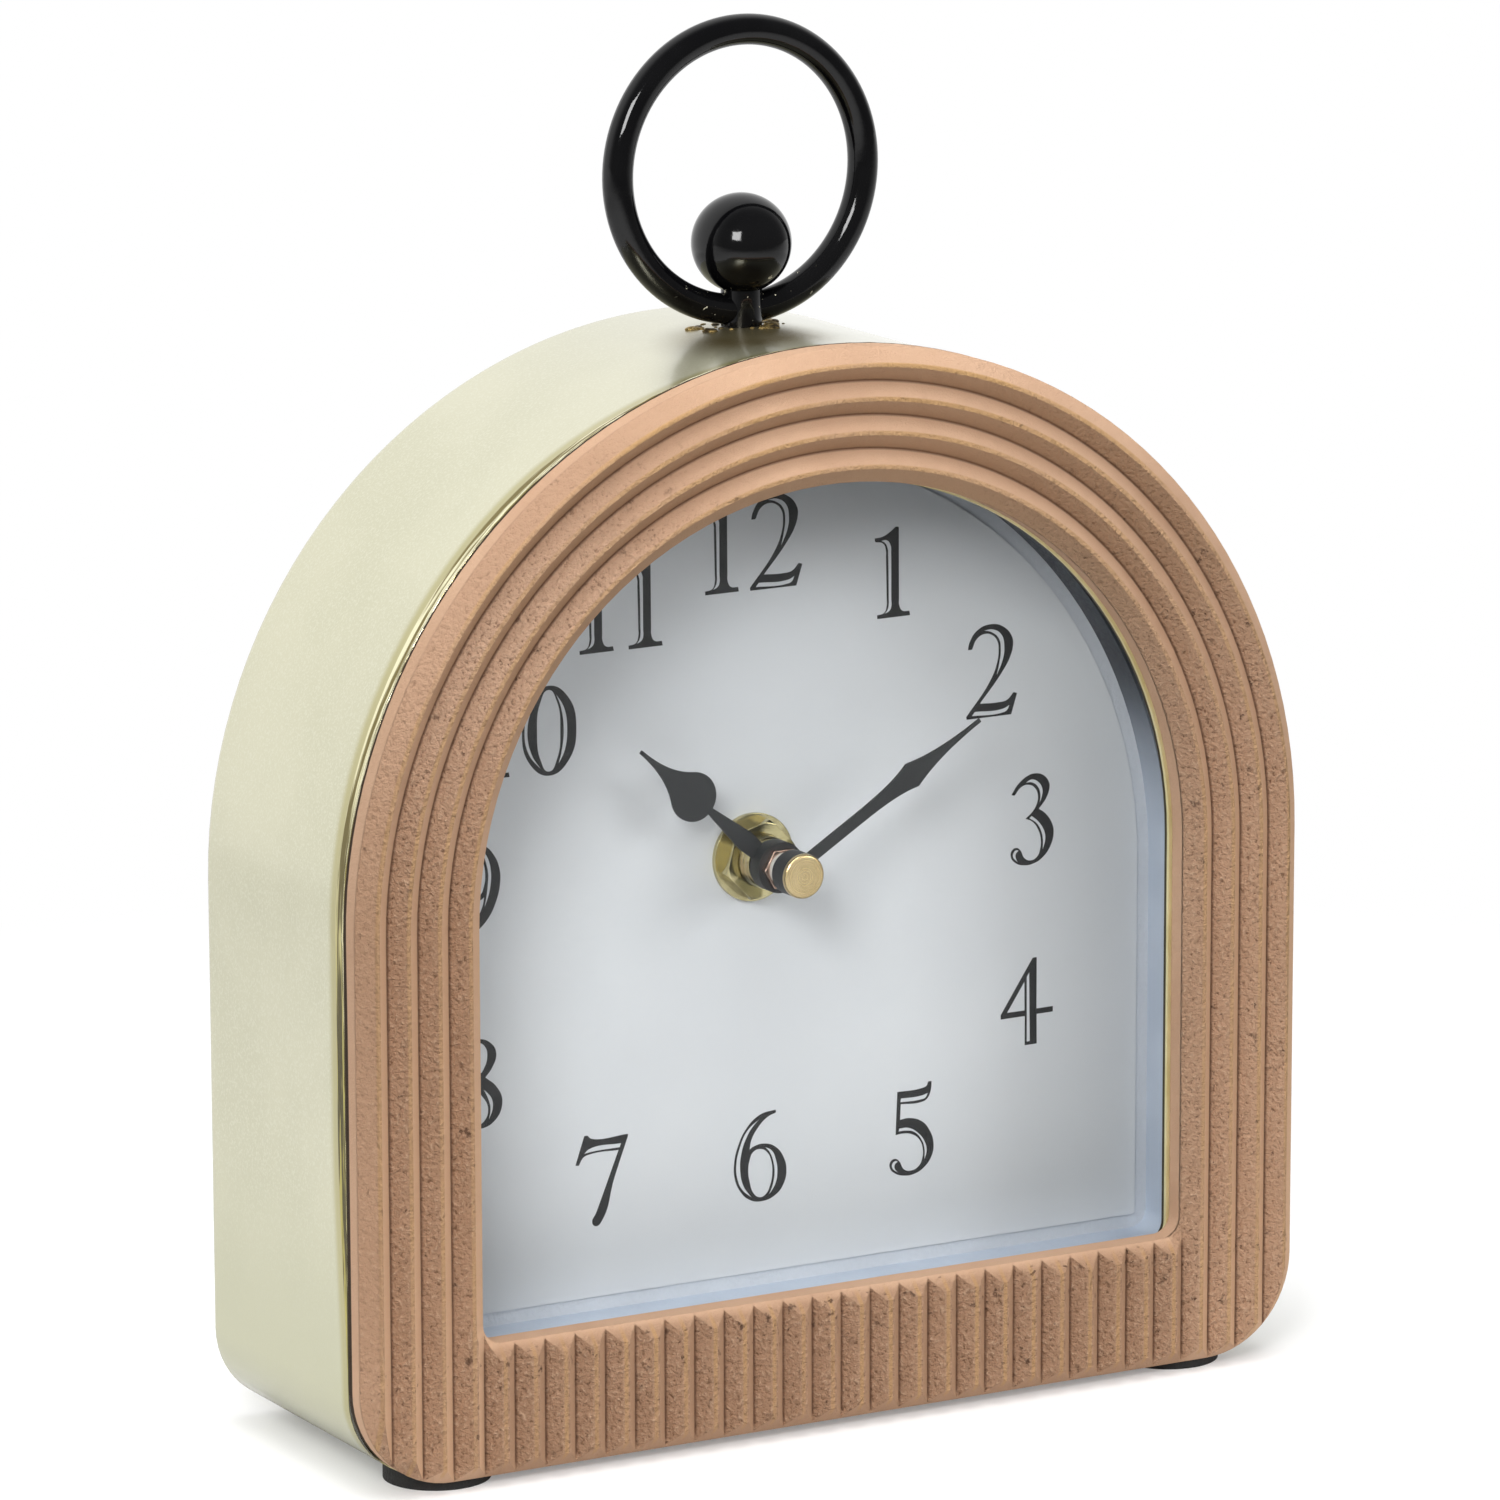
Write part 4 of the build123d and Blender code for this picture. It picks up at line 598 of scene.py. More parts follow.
def gold_with_painted_glints(tree, streak, upper, low_tones, high_tones):
    """Gold with light and dark streaks of painted highlight and painted reflection, from its low tones to its
    high tones up the case.
    """
    return blend(tree, upper, blend(tree, streak, *low_tones), blend(tree, streak, *high_tones))


def behind_gilt(tree, place):
    """How far a place lies behind the bare gold strip at the shell's front, which thins at both ends."""
    _, depth, height = axes(tree, place)
    width = product(tree, fade(tree, height, 10 * MM, 55 * MM, 0.2 * MM, 2.5 * MM),
                    fade(tree, height, 162 * MM, 145 * MM, 0.2, 1.0))
    return less(tree, less(tree, depth, shell_low[1]), width)


def shell_inside(tree, place, normal):
    """The faces that look into the case, as a mask."""
    middle = (0.0, (shell_low[1] + shell_high[1]) / 2, arch_z)
    outward = add(tree, "ShaderNodeVectorMath", {0: place, 1: middle}, operation="SUBTRACT").outputs[0]
    return fade(tree, measure(tree, "DOT_PRODUCT", outward, normal), 0.0, -0.1 * MM)


def champagne_metal():
    """Satin champagne lacquer on sheet metal, with a fine sparkle, a worn front edge, a gold strip with painted
    highlights and reflections, a weld heat tint that also paints the finial's reflection, and painted shade
    inside, on the back edge and towards the bottom.
    """
    material, tree, shader, place = new_material("champagne_metal")
    height = axes(tree, place)[2]
    normal = true_normal(tree)
    grain = grain_masks(tree, place, 2600.0, 38.0)
    past = behind_gilt(tree, place)
    gilded = fade(tree, past, 0.2 * MM, -0.2 * MM)
    # The gold strip at the shell's front, with painted highlights and painted reflections in its streaks.
    gilt_with_painted_glints = gold_with_painted_glints(
        tree, streaks(tree, place, 1300.0, 0.45, 0.57), fade(tree, height, 60 * MM, 125 * MM),
        ((0.080, 0.062, 0.010), (0.50, 0.43, 0.11)),
        ((0.20, 0.155, 0.035), (0.97, 0.92, 0.62)),
    )
    weld = ((post_low[0] + post_high[0]) / 2 - 3 * MM, post_low[1] - 5 * MM, shell_high[2])
    # Heat tint round the weld by the finial, which also stands as a painted reflection of the black finial.
    heat_tint_and_painted_reflection = product(tree, fade(tree, measure(tree, "DISTANCE", place, weld), 17 * MM, 5 * MM),
                   between(tree, grain["Broad"], 0.75, 1.0))
    # Painted shade on the faces that round over towards the back edge.
    turn_back = axes(tree, normal)[1]
    rounded = product(tree, fade(tree, turn_back, 0.10, 0.45), fade(tree, turn_back, 0.97, 0.75))
    # Painted shade: the faces that look into the case are dark.
    inside = shell_inside(tree, place, normal)
    lacquer = coats(
        tree, blend(tree, grain["Broad"], (0.640, 0.622, 0.430), (0.690, 0.668, 0.472)),
        (fade(tree, grain["Fine"], 0.4, 1.0, 0.0, 0.6), (0.78, 0.77, 0.60)),
        # Painted shade: darker towards the bottom.
        (fade(tree, height, 50 * MM, 18 * MM, 0.0, 0.75), (0.565, 0.56, 0.37)),
        (fade(tree, past, 2.8 * MM, 0.8 * MM, 0.0, 0.8), (0.45, 0.395, 0.130)),
        (gilded, gilt_with_painted_glints),
        (heat_tint_and_painted_reflection, (0.16, 0.115, 0.035)),
        (product(tree, rounded, 0.5), (0.40, 0.36, 0.22)),
        (inside, (0.05, 0.055, 0.065)),
    )
    feed(tree, shader, Base_Color=lacquer, Roughness=between(tree, grain["Fine"], 0.29, 0.38))
    feed(tree, shader, Metallic=between(tree, inside, 0.8, 0.0))
    covered = largest(tree, inside, product(tree, heat_tint_and_painted_reflection, 0.9), product(tree, gilded, 0.8))
    feed(tree, shader, Coat_Weight=between(tree, covered, 1.0, 0.0), Coat_Roughness=0.14)
    edges = soft_edges(tree, 0.3 * MM)
    feed(tree, shader, Normal=bump(tree, grain["Fine"], 0.012 * MM, 0.6, edges["Normal"]))
    return material


def gold_lacquer():
    """Gold lacquer on the plate's edges: crinkled and streaked on the outer edge, with painted highlights,
    reflections and shade, and plain at the window, with a painted shadow line along its back.
    """
    material, tree, shader, place = new_material("gold_lacquer")
    _, depth, height = axes(tree, place)
    across = across_arch(tree, place)
    outer = fade(tree, across, shell_half - 6 * MM, shell_half - 3 * MM)
    proud = fade(tree, across, shell_half + 0.02 * MM, shell_half + 0.14 * MM)
    upper = fade(tree, height, 40 * MM, 120 * MM)
    streak = streaks(tree, place, 1500.0, 0.40, 0.56)
    # Painted highlights and painted reflections in the streaks of the crinkled outer edge.
    crinkled = gold_with_painted_glints(
        tree, streak, upper,
        ((0.16, 0.13, 0.030), (0.62, 0.54, 0.22)),
        ((0.30, 0.24, 0.07), (0.98, 0.93, 0.68)),
    )
    # Painted shade on the part of the outer edge that lies flush with the shell, darker towards the foot.
    flush_edge_painted_shade = blend(tree, upper, (0.040, 0.030, 0.008), (0.20, 0.16, 0.05))
    crinkled = blend(tree, proud, flush_edge_painted_shade, crinkled)
    grain = grain_masks(tree, place, 900.0, 120.0)
    plain = blend(tree, grain["Broad"], (0.78, 0.70, 0.36), (0.88, 0.81, 0.47))
    # Painted shadow along the back of the window edge.
    painted_shadow_line = fade(tree, depth, shell_low[1] - 0.70 * MM, shell_low[1] - 0.60 * MM)
    plain = blend(tree, painted_shadow_line, plain, (0.05, 0.038, 0.012))
    feed(tree, shader, Base_Color=blend(tree, outer, plain, crinkled))
    feed(tree, shader, Metallic=between(tree, outer, 0.5, 0.9), Roughness=between(tree, outer, 0.42, 0.22))
    feed(tree, shader, Normal=bump(tree, product(tree, streak, outer), 0.10 * MM, 0.7))
    return material


# Finishes of the dial and the window
def clear_glass():
    """Clear thin pane that lets the studio light through to the dial."""
    material, tree, shader, place = new_material("clear_glass")
    smear = noise(tree, place, 30.0, 2.0)
    feed(tree, shader, Base_Color=blend(tree, smear, (0.97, 0.985, 0.98), (0.99, 0.995, 0.99)))
    feed(tree, shader, Roughness=0.0, IOR=1.18, Transmission_Weight=1.0)
    path = add(tree, "ShaderNodeLightPath").outputs
    passing = largest(tree, path["Is Shadow Ray"], path["Is Diffuse Ray"])
    through = add(tree, "ShaderNodeBsdfTransparent", {"Color": tint((0.97, 0.98, 0.98))}).outputs[0]
    mix = add(tree, "ShaderNodeMixShader", {0: passing, 1: shader.outputs[0], 2: through}).outputs[0]
    put(tree, tree.nodes["Material Output"].inputs["Surface"], mix)
    return material


def dial_print_paper():
    """Cool white paper with a faint laid texture."""
    material, tree, shader, place = new_material("dial_print_paper")
    grain = grain_masks(tree, place, 1800.0, 25.0)
    laid = noise(tree, stretch(tree, place, (0.25, 1.0, 1.0)), 1500.0, 2.0)
    sheet = blend(tree, grain["Broad"], (0.705, 0.720, 0.752), (0.735, 0.750, 0.780))
    sheet = blend(tree, fade(tree, laid, 0.4, 0.7, 0.0, 0.12), sheet, (0.655, 0.675, 0.71))
    feed(tree, shader, Base_Color=sheet, Roughness=between(tree, grain["Fine"], 0.7, 0.85))
    feed(tree, shader, Specular_IOR_Level=0.3, Normal=bump(tree, laid, 0.02 * MM, 0.5))
    return material


def rim_lacquer():
    """Blue-grey lacquer on the dial's rim, with painted shade towards the top of the arch."""
    material, tree, shader, place = new_material("rim_lacquer")
    grain = grain_masks(tree, place, 1500.0, 60.0)
    pale = blend(tree, grain["Broad"], (0.49, 0.55, 0.65), (0.55, 0.61, 0.71))
    painted_shade_tone = blend(tree, grain["Broad"], (0.050, 0.056, 0.066), (0.068, 0.075, 0.088))
    # Painted shade: the rim darkens towards the top of the arch.
    tone = blend(tree, fade(tree, axes(tree, place)[2], 76 * MM, 108 * MM), pale, painted_shade_tone)
    feed(tree, shader, Base_Color=tone, Roughness=between(tree, grain["Fine"], 0.40, 0.55))
    feed(tree, shader, Specular_IOR_Level=0.3, Normal=bump(tree, grain["Fine"], 0.01 * MM, 0.4))
    return material


# Metals, enamel and the other finishes
def turned_metal(name, dark, light, rings, rough_low, rough_high):
    """Lathe-turned metal about the hand axis, with fine rings, soft stains and softened edges that carry a
    painted highlight.
    """
    material, tree, shader, place = new_material(name)
    ring = use_group(tree, TURNED_RINGS, {"Place": place, "Axis Height": axis_z, "Rings": rings})["Ring"]
    grain = grain_masks(tree, place, 5200.0, 260.0)
    edges = soft_edges(tree, 0.18 * MM)
    tone = blend(tree, shares(tree, fade(tree, ring, 0.3, 0.7), 0.25, grain["Broad"], 0.75), dark, light)
    # Painted highlight along the edges.
    painted_edge_highlight = [min(1.0, value * 1.15) for value in light]
    tone = blend(tree, product(tree, edges["Edge"], 0.6), tone, painted_edge_highlight)
    feed(tree, shader, Base_Color=tone, Metallic=1.0)
    feed(tree, shader, Roughness=fade(tree, ring, 0.3, 0.7, rough_low, rough_high))
    feed(tree, shader, Normal=bump(tree, grain["Fine"], 0.006 * MM, 0.5, edges["Normal"]))
    return material


def nut_brass():
    """Bright brass with painted reflections, its flats taking turns dark and light as if mirroring the pale
    dial and the dark hand above it, and a painted highlight on its edges.
    """
    material, tree, shader, place = new_material("nut_brass")
    x, _, height = axes(tree, place)
    # Painted reflections: the tone takes turns dark and light round the nut's flats.
    angle = math_node(tree, "ARCTAN2", x, less(tree, height, axis_z))
    turns = math_node(tree, "SINE", product(tree, angle, 3.0))
    grain = grain_masks(tree, place, 5200.0, 500.0)
    edges = soft_edges(tree, 0.2 * MM)
    tone = coats(
        tree, blend(tree, fade(tree, turns, -0.25, 0.25), (0.17, 0.145, 0.055), (0.60, 0.53, 0.29)),
        (product(tree, grain["Broad"], 0.3), (0.42, 0.36, 0.17)),
        # Painted highlight along the edges.
        (product(tree, edges["Edge"], 0.8), (0.90, 0.84, 0.58)),
    )
    feed(tree, shader, Base_Color=tone, Metallic=1.0, Roughness=between(tree, grain["Fine"], 0.10, 0.18))
    feed(tree, shader, Normal=bump(tree, grain["Fine"], 0.006 * MM, 0.5, edges["Normal"]))
    return material


def gloss_black():
    """Thick gloss black enamel with a slight orange peel, and a few chips near the weld."""
    material, tree, shader, place = new_material("gloss_black")
    grain = grain_masks(tree, place, 420.0, 90.0)
    enamel = blend(tree, grain["Broad"], (0.002, 0.002, 0.0025), (0.004, 0.004, 0.0045))
    root = (0.0, post_y, post_low[2] + 6 * MM)
    near = fade(tree, measure(tree, "DISTANCE", place, root), 13 * MM, 9 * MM)
    low = fade(tree, axes(tree, place)[2], post_low[2] + 8.5 * MM, post_low[2] + 7.5 * MM)
    chips = fade(tree, noise(tree, place, 900.0, 2.0), 0.69, 0.72)
    enamel = blend(tree, product(tree, chips, near, low), enamel, (0.55, 0.52, 0.40))
    feed(tree, shader, Base_Color=enamel, Specular_IOR_Level=0.4)
    feed(tree, shader, Roughness=between(tree, grain["Broad"], 0.05, 0.09))
    feed(tree, shader, Normal=bump(tree, grain["Fine"], 0.03 * MM, 0.2))
    return material


def weld_metal():
    """Burnt bronze and gold weld."""
    material, tree, shader, place = new_material("weld_metal")
    grain = grain_masks(tree, place, 2200.0, 700.0)
    tone = blend(tree, grain["Broad"], (0.05, 0.035, 0.02), (0.50, 0.36, 0.14))
    feed(tree, shader, Base_Color=tone, Metallic=0.8, Roughness=between(tree, grain["Fine"], 0.35, 0.65))
    feed(tree, shader, Normal=bump(tree, grain["Fine"], 0.08 * MM))
    return material


def cell_jacket():
    """Plain two-colour sleeve with bare metal ends."""
    material, tree, shader, place = new_material("cell_jacket")
    along = axes(tree, place)[0]
    grain = grain_masks(tree, place, 3000.0, 60.0)
    band = fade(tree, along, cell_high[0] - 16.0 * MM, cell_high[0] - 15.8 * MM)
    left_end = fade(tree, along, cell_low[0] + 0.7 * MM, cell_low[0] + 0.6 * MM)
    right_end = fade(tree, along, cell_high[0] - 1.7 * MM, cell_high[0] - 1.6 * MM)
    bare = largest(tree, left_end, right_end)
    jacket = blend(tree, band, (0.030, 0.032, 0.036), (0.62, 0.34, 0.13))
    jacket = blend(tree, bare, jacket, (0.62, 0.62, 0.61))
    feed(tree, shader, Base_Color=jacket, Roughness=between(tree, grain["Fine"], 0.22, 0.32))
    feed(tree, shader, Metallic=largest(tree, bare, product(tree, band, 0.7)))
    feed(tree, shader, Normal=bump(tree, grain["Broad"], 0.02 * MM, 0.3))
    return material


def winding_copper():
    """Close turns of enamelled wire along Z, with painted shade between the turns and a painted highlight along
    each turn.
    """
    material, tree, shader, place = new_material("winding_copper")
    turn = math_node(tree, "PINGPONG", math_node(tree, "DIVIDE", axes(tree, place)[2], 0.16 * MM), 0.5)
    # Painted shade between the turns and painted highlight along their middles.
    tone = blend(tree, fade(tree, turn, 0.0, 0.5), (0.22, 0.07, 0.03), (0.66, 0.28, 0.12))
    feed(tree, shader, Base_Color=tone, Metallic=0.85, Roughness=fade(tree, turn, 0.0, 0.5, 0.45, 0.28))
    feed(tree, shader, Normal=bump(tree, turn, 0.06 * MM))
    return material


def grained(name, dark, light, rough_low, rough_high, fine_scale, broad_scale, depth, metallic=0.0):
    """A finish whose tone, roughness and surface vary with fine grain and broad blotches."""
    material, tree, shader, place = new_material(name)
    grain = grain_masks(tree, place, fine_scale, broad_scale)
    tone = blend(tree, shares(tree, grain["Fine"], 0.5, grain["Broad"], 0.5), dark, light)
    feed(tree, shader, Base_Color=tone, Metallic=metallic)
    feed(tree, shader, Roughness=between(tree, grain["Fine"], rough_low, rough_high))
    feed(tree, shader, Normal=bump(tree, grain["Fine"], depth))
    return material


# Grained finishes: dark and light tone, least and most roughness, fine and broad grain scale, depth, metal
GRAINED_FINISHES = {
    "spring_steel": ((0.38, 0.38, 0.38), (0.58, 0.58, 0.57), 0.28, 0.42, 3800.0, 200.0, 0.01 * MM, 1.0),
    "pillar_metal": ((0.46, 0.46, 0.47), (0.66, 0.66, 0.67), 0.30, 0.45, 3000.0, 150.0, 0.015 * MM, 1.0),
    "screw_steel": ((0.42, 0.42, 0.41), (0.66, 0.65, 0.62), 0.26, 0.42, 3600.0, 260.0, 0.015 * MM, 1.0),
    "foot_rubber": ((0.012, 0.012, 0.012), (0.028, 0.028, 0.028), 0.6, 0.8, 2400.0, 140.0, 0.04 * MM),
    "hand_black": ((0.009, 0.010, 0.011), (0.017, 0.018, 0.020), 0.50, 0.66, 5200.0, 240.0, 0.006 * MM),
    "movement_black": ((0.014, 0.014, 0.015), (0.026, 0.026, 0.027), 0.46, 0.62, 2600.0, 80.0, 0.03 * MM),
    "wheel_white": ((0.66, 0.66, 0.62), (0.76, 0.76, 0.73), 0.42, 0.55, 2400.0, 160.0, 0.006 * MM),
    "magnet_dark": ((0.05, 0.05, 0.055), (0.11, 0.11, 0.12), 0.45, 0.65, 4200.0, 300.0, 0.02 * MM, 0.6),
    "stator_steel": ((0.34, 0.34, 0.36), (0.52, 0.52, 0.54), 0.30, 0.46, 3400.0, 180.0, 0.012 * MM, 1.0),
    "board_green": ((0.02, 0.11, 0.05), (0.04, 0.19, 0.09), 0.30, 0.45, 2600.0, 300.0, 0.01 * MM),
    "chip_resin": ((0.008, 0.008, 0.008), (0.018, 0.018, 0.018), 0.16, 0.26, 1500.0, 200.0, 0.02 * MM),
    "crystal_can": ((0.55, 0.55, 0.56), (0.76, 0.76, 0.77), 0.14, 0.24, 3800.0, 240.0, 0.006 * MM, 1.0),
    "fibre_board": ((0.60, 0.625, 0.675), (0.65, 0.675, 0.725), 0.75, 0.9, 1500.0, 60.0, 0.04 * MM),
    "print_ink": ((0.008, 0.008, 0.009), (0.013, 0.013, 0.015), 0.55, 0.7, 3000.0, 120.0, 0.004 * MM),
}

# Turned finishes: dark and light tone, scale of the rings, least and most roughness
TURNED_FINISHES = {
    "turned_brass": ((0.40, 0.345, 0.180), (0.68, 0.605, 0.365), 2600.0, 0.09, 0.15),
    "cap_brass": ((0.58, 0.44, 0.225), (0.67, 0.52, 0.285), 2600.0, 0.20, 0.30),
    "washer_brass": ((0.34, 0.295, 0.150), (0.60, 0.535, 0.310), 2600.0, 0.10, 0.16),
    "turned_copper": ((0.52, 0.32, 0.24), (0.80, 0.58, 0.48), 2200.0, 0.16, 0.26),
    "turned_steel": ((0.42, 0.42, 0.43), (0.66, 0.66, 0.67), 2400.0, 0.22, 0.34),
}

# The finish of each slot, and of the pieces that differ from their slot
grained_finishes = {name: grained(name, *values) for name, values in GRAINED_FINISHES.items()}
turned_finishes = {name: turned_metal(name, *values) for name, values in TURNED_FINISHES.items()}
finishes = {
    "frame_board": frame_paint(),
    "gold_plate": gold_lacquer(),
    "case_metal": champagne_metal(),
    "window_glass": clear_glass(),
    "dial_paper": dial_print_paper(),
    "dial_board": grained_finishes["fibre_board"],
    "rim_strip": rim_lacquer(),
    "finial_black": gloss_black(),
    "brass": turned_finishes["turned_brass"],
    "collet_copper": turned_finishes["turned_copper"],
    "arbor_steel": turned_finishes["turned_steel"],
    "cell_sleeve": cell_jacket(),
    "coil_copper": winding_copper(),
    **grained_finishes,
}
own_finish = {
    "cap_nut": turned_finishes["cap_brass"],
    "hex_nut": nut_brass(),
    "dial_washer": turned_finishes["washer_brass"],
}
slot_of = {part["node"]: part["material_slot"] for part in frame["record"]["subparts"]}
for node_name, node in nodes.items():
    for slot in node.material_slots:
        slot.material = own_finish.get(node_name, finishes[slot_of[node_name]])


# New pieces
def mesh_of(bm, name):
    """The mesh of a finished bmesh."""
    mesh = bpy.data.meshes.new(name)
    bm.to_mesh(mesh)
    bm.free()
    return mesh


def place_piece(name, mesh, material, body):
    """A new piece at the origin, riding on a body of the frame."""
    mesh.materials.clear()
    mesh.materials.append(material)
    piece = bpy.data.objects.new(name, mesh)
    bpy.context.scene.collection.objects.link(piece)
    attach(piece, body)
    return piece


# Printed numerals
def figure_spline(curve, outline):
    """A closed outline that is smooth except at its corners."""
    spline = curve.splines.new("BEZIER")
    spline.use_cyclic_u = True
    spline.bezier_points.add(len(outline) - 1)
    for point, (x, z, *corner) in zip(spline.bezier_points, outline):
        point.co = (x * MM, z * MM, 0.0)
        kind = "VECTOR" if corner else "AUTO"
        point.handle_left_type = kind
        point.handle_right_type = kind


def figure_mesh(figure):
    """One figure as a thin filled print, standing in the X-Z plane about its middle."""
    curve = bpy.data.curves.new("figure_outline", "CURVE")
    curve.dimensions = "2D"
    curve.fill_mode = "BOTH"
    curve.extrude = PRINT_THICK / 2
    curve.resolution_u = 10
    for outline in FIGURES[figure]:
        figure_spline(curve, outline)
    holder = bpy.data.objects.new("figure_outline", curve)
    mesh = bpy.data.meshes.new_from_object(holder)
    bpy.data.objects.remove(holder)
    bpy.data.curves.remove(curve)
    mesh.transform(Matrix.Rotation(math.radians(90), 4, "X"))
    return mesh


def numeral(hour):
    """The figures of one hour, laid on the dial paper."""
    bm = bmesh.new()
    for figure, x, z in HOURS[hour]:
        mesh = figure_mesh(figure)
        mesh.transform(Matrix.Translation((x * MM, dial_y - PRINT_THICK / 2, axis_z + z * MM)))
        bm.from_mesh(mesh)
        bpy.data.meshes.remove(mesh)
    bmesh.ops.remove_doubles(bm, verts=bm.verts, dist=0.002 * MM)
    bmesh.ops.recalc_face_normals(bm, faces=bm.faces)
    name = f"numeral_{hour}"
    return place_piece(name, mesh_of(bm, name), finishes["print_ink"], "case")


for hour in HOURS:
    numeral(hour)


# Threaded bush
def spin_profile(points):
    """A closed profile of radius and depth pairs, spun about the hand axis."""
    bm = bmesh.new()
    corners = [bm.verts.new((radius, depth, axis_z)) for radius, depth in points]
    edges = [bm.edges.new((corners[i - 1], corners[i])) for i in range(len(corners))]
    bmesh.ops.spin(bm, geom=corners + edges, cent=(0, 0, axis_z), axis=(0, 1, 0), angle=2 * math.pi,
                   steps=SPIN_STEPS, use_merge=True)
    bmesh.ops.remove_doubles(bm, verts=bm.verts, dist=0.001 * MM)
    bmesh.ops.recalc_face_normals(bm, faces=bm.faces)
    return mesh_of(bm, "spun")


def bore_radius(name):
    """Smallest distance of a node's points from the hand axis."""
    return min(math.hypot(point.co.x, point.co.z - axis_z) for point in nodes[name].data.vertices)


def threaded_bush():
    """The bush with its thread in front of the nut, and its flange inside the movement."""
    thread_radius = bore_radius("rubber_washer") - THREAD_GAP
    root_radius = thread_radius - THREAD_DEPTH
    flange_radius = bush_high[0]
    flange_front = bush_high[1] - BUSH_FLANGE
    points = [(BUSH_BORE, bush_low[1]), (root_radius, bush_low[1])]
    crest = bush_low[1] + THREAD_PITCH / 2
    while crest < dial_y:
        points.append((thread_radius, crest))
        points.append((root_radius, crest + THREAD_PITCH / 2))
        crest += THREAD_PITCH
    points.append((thread_radius, flange_front))
    points.append((flange_radius, flange_front))
    points.append((flange_radius, bush_high[1]))
    points.append((BUSH_BORE, bush_high[1]))
    piece = place_piece("bush_thread", spin_profile(points), finishes["brass"], "case")
    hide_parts("threaded_bush")
    return piece


threaded_bush()


# Weld lumps round the foot of the finial
def finial_weld():
    """Small uneven lumps where the finial is welded to the case."""
    chance = random.Random(WELD_SEED)
    bm = bmesh.new()
    reach = (post_high[0] - post_low[0]) / 2
    for _ in range(WELD_LUMPS):
        angle = chance.uniform(0, 2 * math.pi)
        radius = WELD_RADIUS * chance.uniform(*LUMP_SIZES)
        away = reach + WELD_SPREAD * chance.random() ** 2
        x = away * math.cos(angle) * WELD_STRETCH
        seat = arch_z + math.sqrt(shell_half**2 - x**2)
        place = Matrix.Translation((x, post_y + away * math.sin(angle), seat))
        squash = Matrix.Diagonal((chance.uniform(*LUMP_WIDTHS), chance.uniform(*LUMP_DEPTHS), LUMP_HEIGHT, 1.0))
        bmesh.ops.create_icosphere(bm, subdivisions=2, radius=radius, matrix=place @ squash)
    mesh = mesh_of(bm, "finial_weld")
    mesh.shade_smooth()
    return place_piece("finial_weld", mesh, weld_metal(), "case")


finial_weld()


# Crinkled edge of the gold plate
def bead_path():
    """Places and outward directions along the plate's edge: up the left, over the arch, down the right."""
    straight = arch_z - BEAD_START
    arc = math.pi * shell_half
    count = int((2 * straight + arc) / BEAD_STEP)
    for number in range(count + 1):
        run = (2 * straight + arc) * number / count
        if run < straight:
            yield Vector((-shell_half, 0.0, BEAD_START + run)), Vector((-1.0, 0.0, 0.0))
        elif run < straight + arc:
            turn = (run - straight) / shell_half
            normal = Vector((-math.cos(turn), 0.0, math.sin(turn)))
            yield Vector((0.0, 0.0, arch_z)) + normal * shell_half, normal
        else:
            yield Vector((shell_half, 0.0, arch_z - (run - straight - arc))), Vector((1.0, 0.0, 0.0))


def bead_ring(bm, place, normal, radius):
    """The edges of one ring of the bead, which stands square to the plate's outer edge."""
    across = Vector((0.0, 1.0, 0.0))
    seat = place + across * (plate_y + shell_low[1]) / 2
    turn = Matrix((across, normal, across.cross(normal))).transposed().to_4x4()
    stand = Matrix.Translation(seat) @ turn
    ring = bmesh.ops.create_circle(bm, segments=BEAD_SIDES, radius=radius, matrix=stand)
    return list(dict.fromkeys(edge for corner in ring["verts"] for edge in corner.link_edges))


def plate_bead():
    """The rolled outer edge of the gold plate: a bead of uneven thickness that thins towards the foot."""
    chance = random.Random(BEAD_SEED)
    waves = [(chance.uniform(*BEAD_RATES) / MM, chance.uniform(0, 2 * math.pi)) for _ in range(BEAD_WAVES)]
    bm = bmesh.new()
    rings = []
    for number, (place, normal) in enumerate(bead_path()):
        run = number * BEAD_STEP
        crinkle = sum(math.sin(run * rate + phase) for rate, phase in waves) / BEAD_WAVES
        above = place.z - BEAD_START
        climb = min(1.0, max(0.0, above / BEAD_CLIMB))
        taper = min(1.0, BEAD_TIP + above / BEAD_TAPER)
        fullness = BEAD_FOOT + (1.0 - BEAD_FOOT) * climb
        share = taper * fullness * (BEAD_EVEN + BEAD_CRINKLE * crinkle)
        rings.append(bead_ring(bm, place, normal, BEAD_RADIUS * min(share, 1.0)))
    for before, after in zip(rings, rings[1:]):
        bmesh.ops.bridge_loops(bm, edges=before + after)
    bmesh.ops.edgeloop_fill(bm, edges=rings[0] + rings[-1])
    bmesh.ops.recalc_face_normals(bm, faces=bm.faces)
    mesh = mesh_of(bm, "plate_bead")
    mesh.shade_smooth()
    return place_piece("plate_bead", mesh, finishes["gold_plate"], "case")


plate_bead()


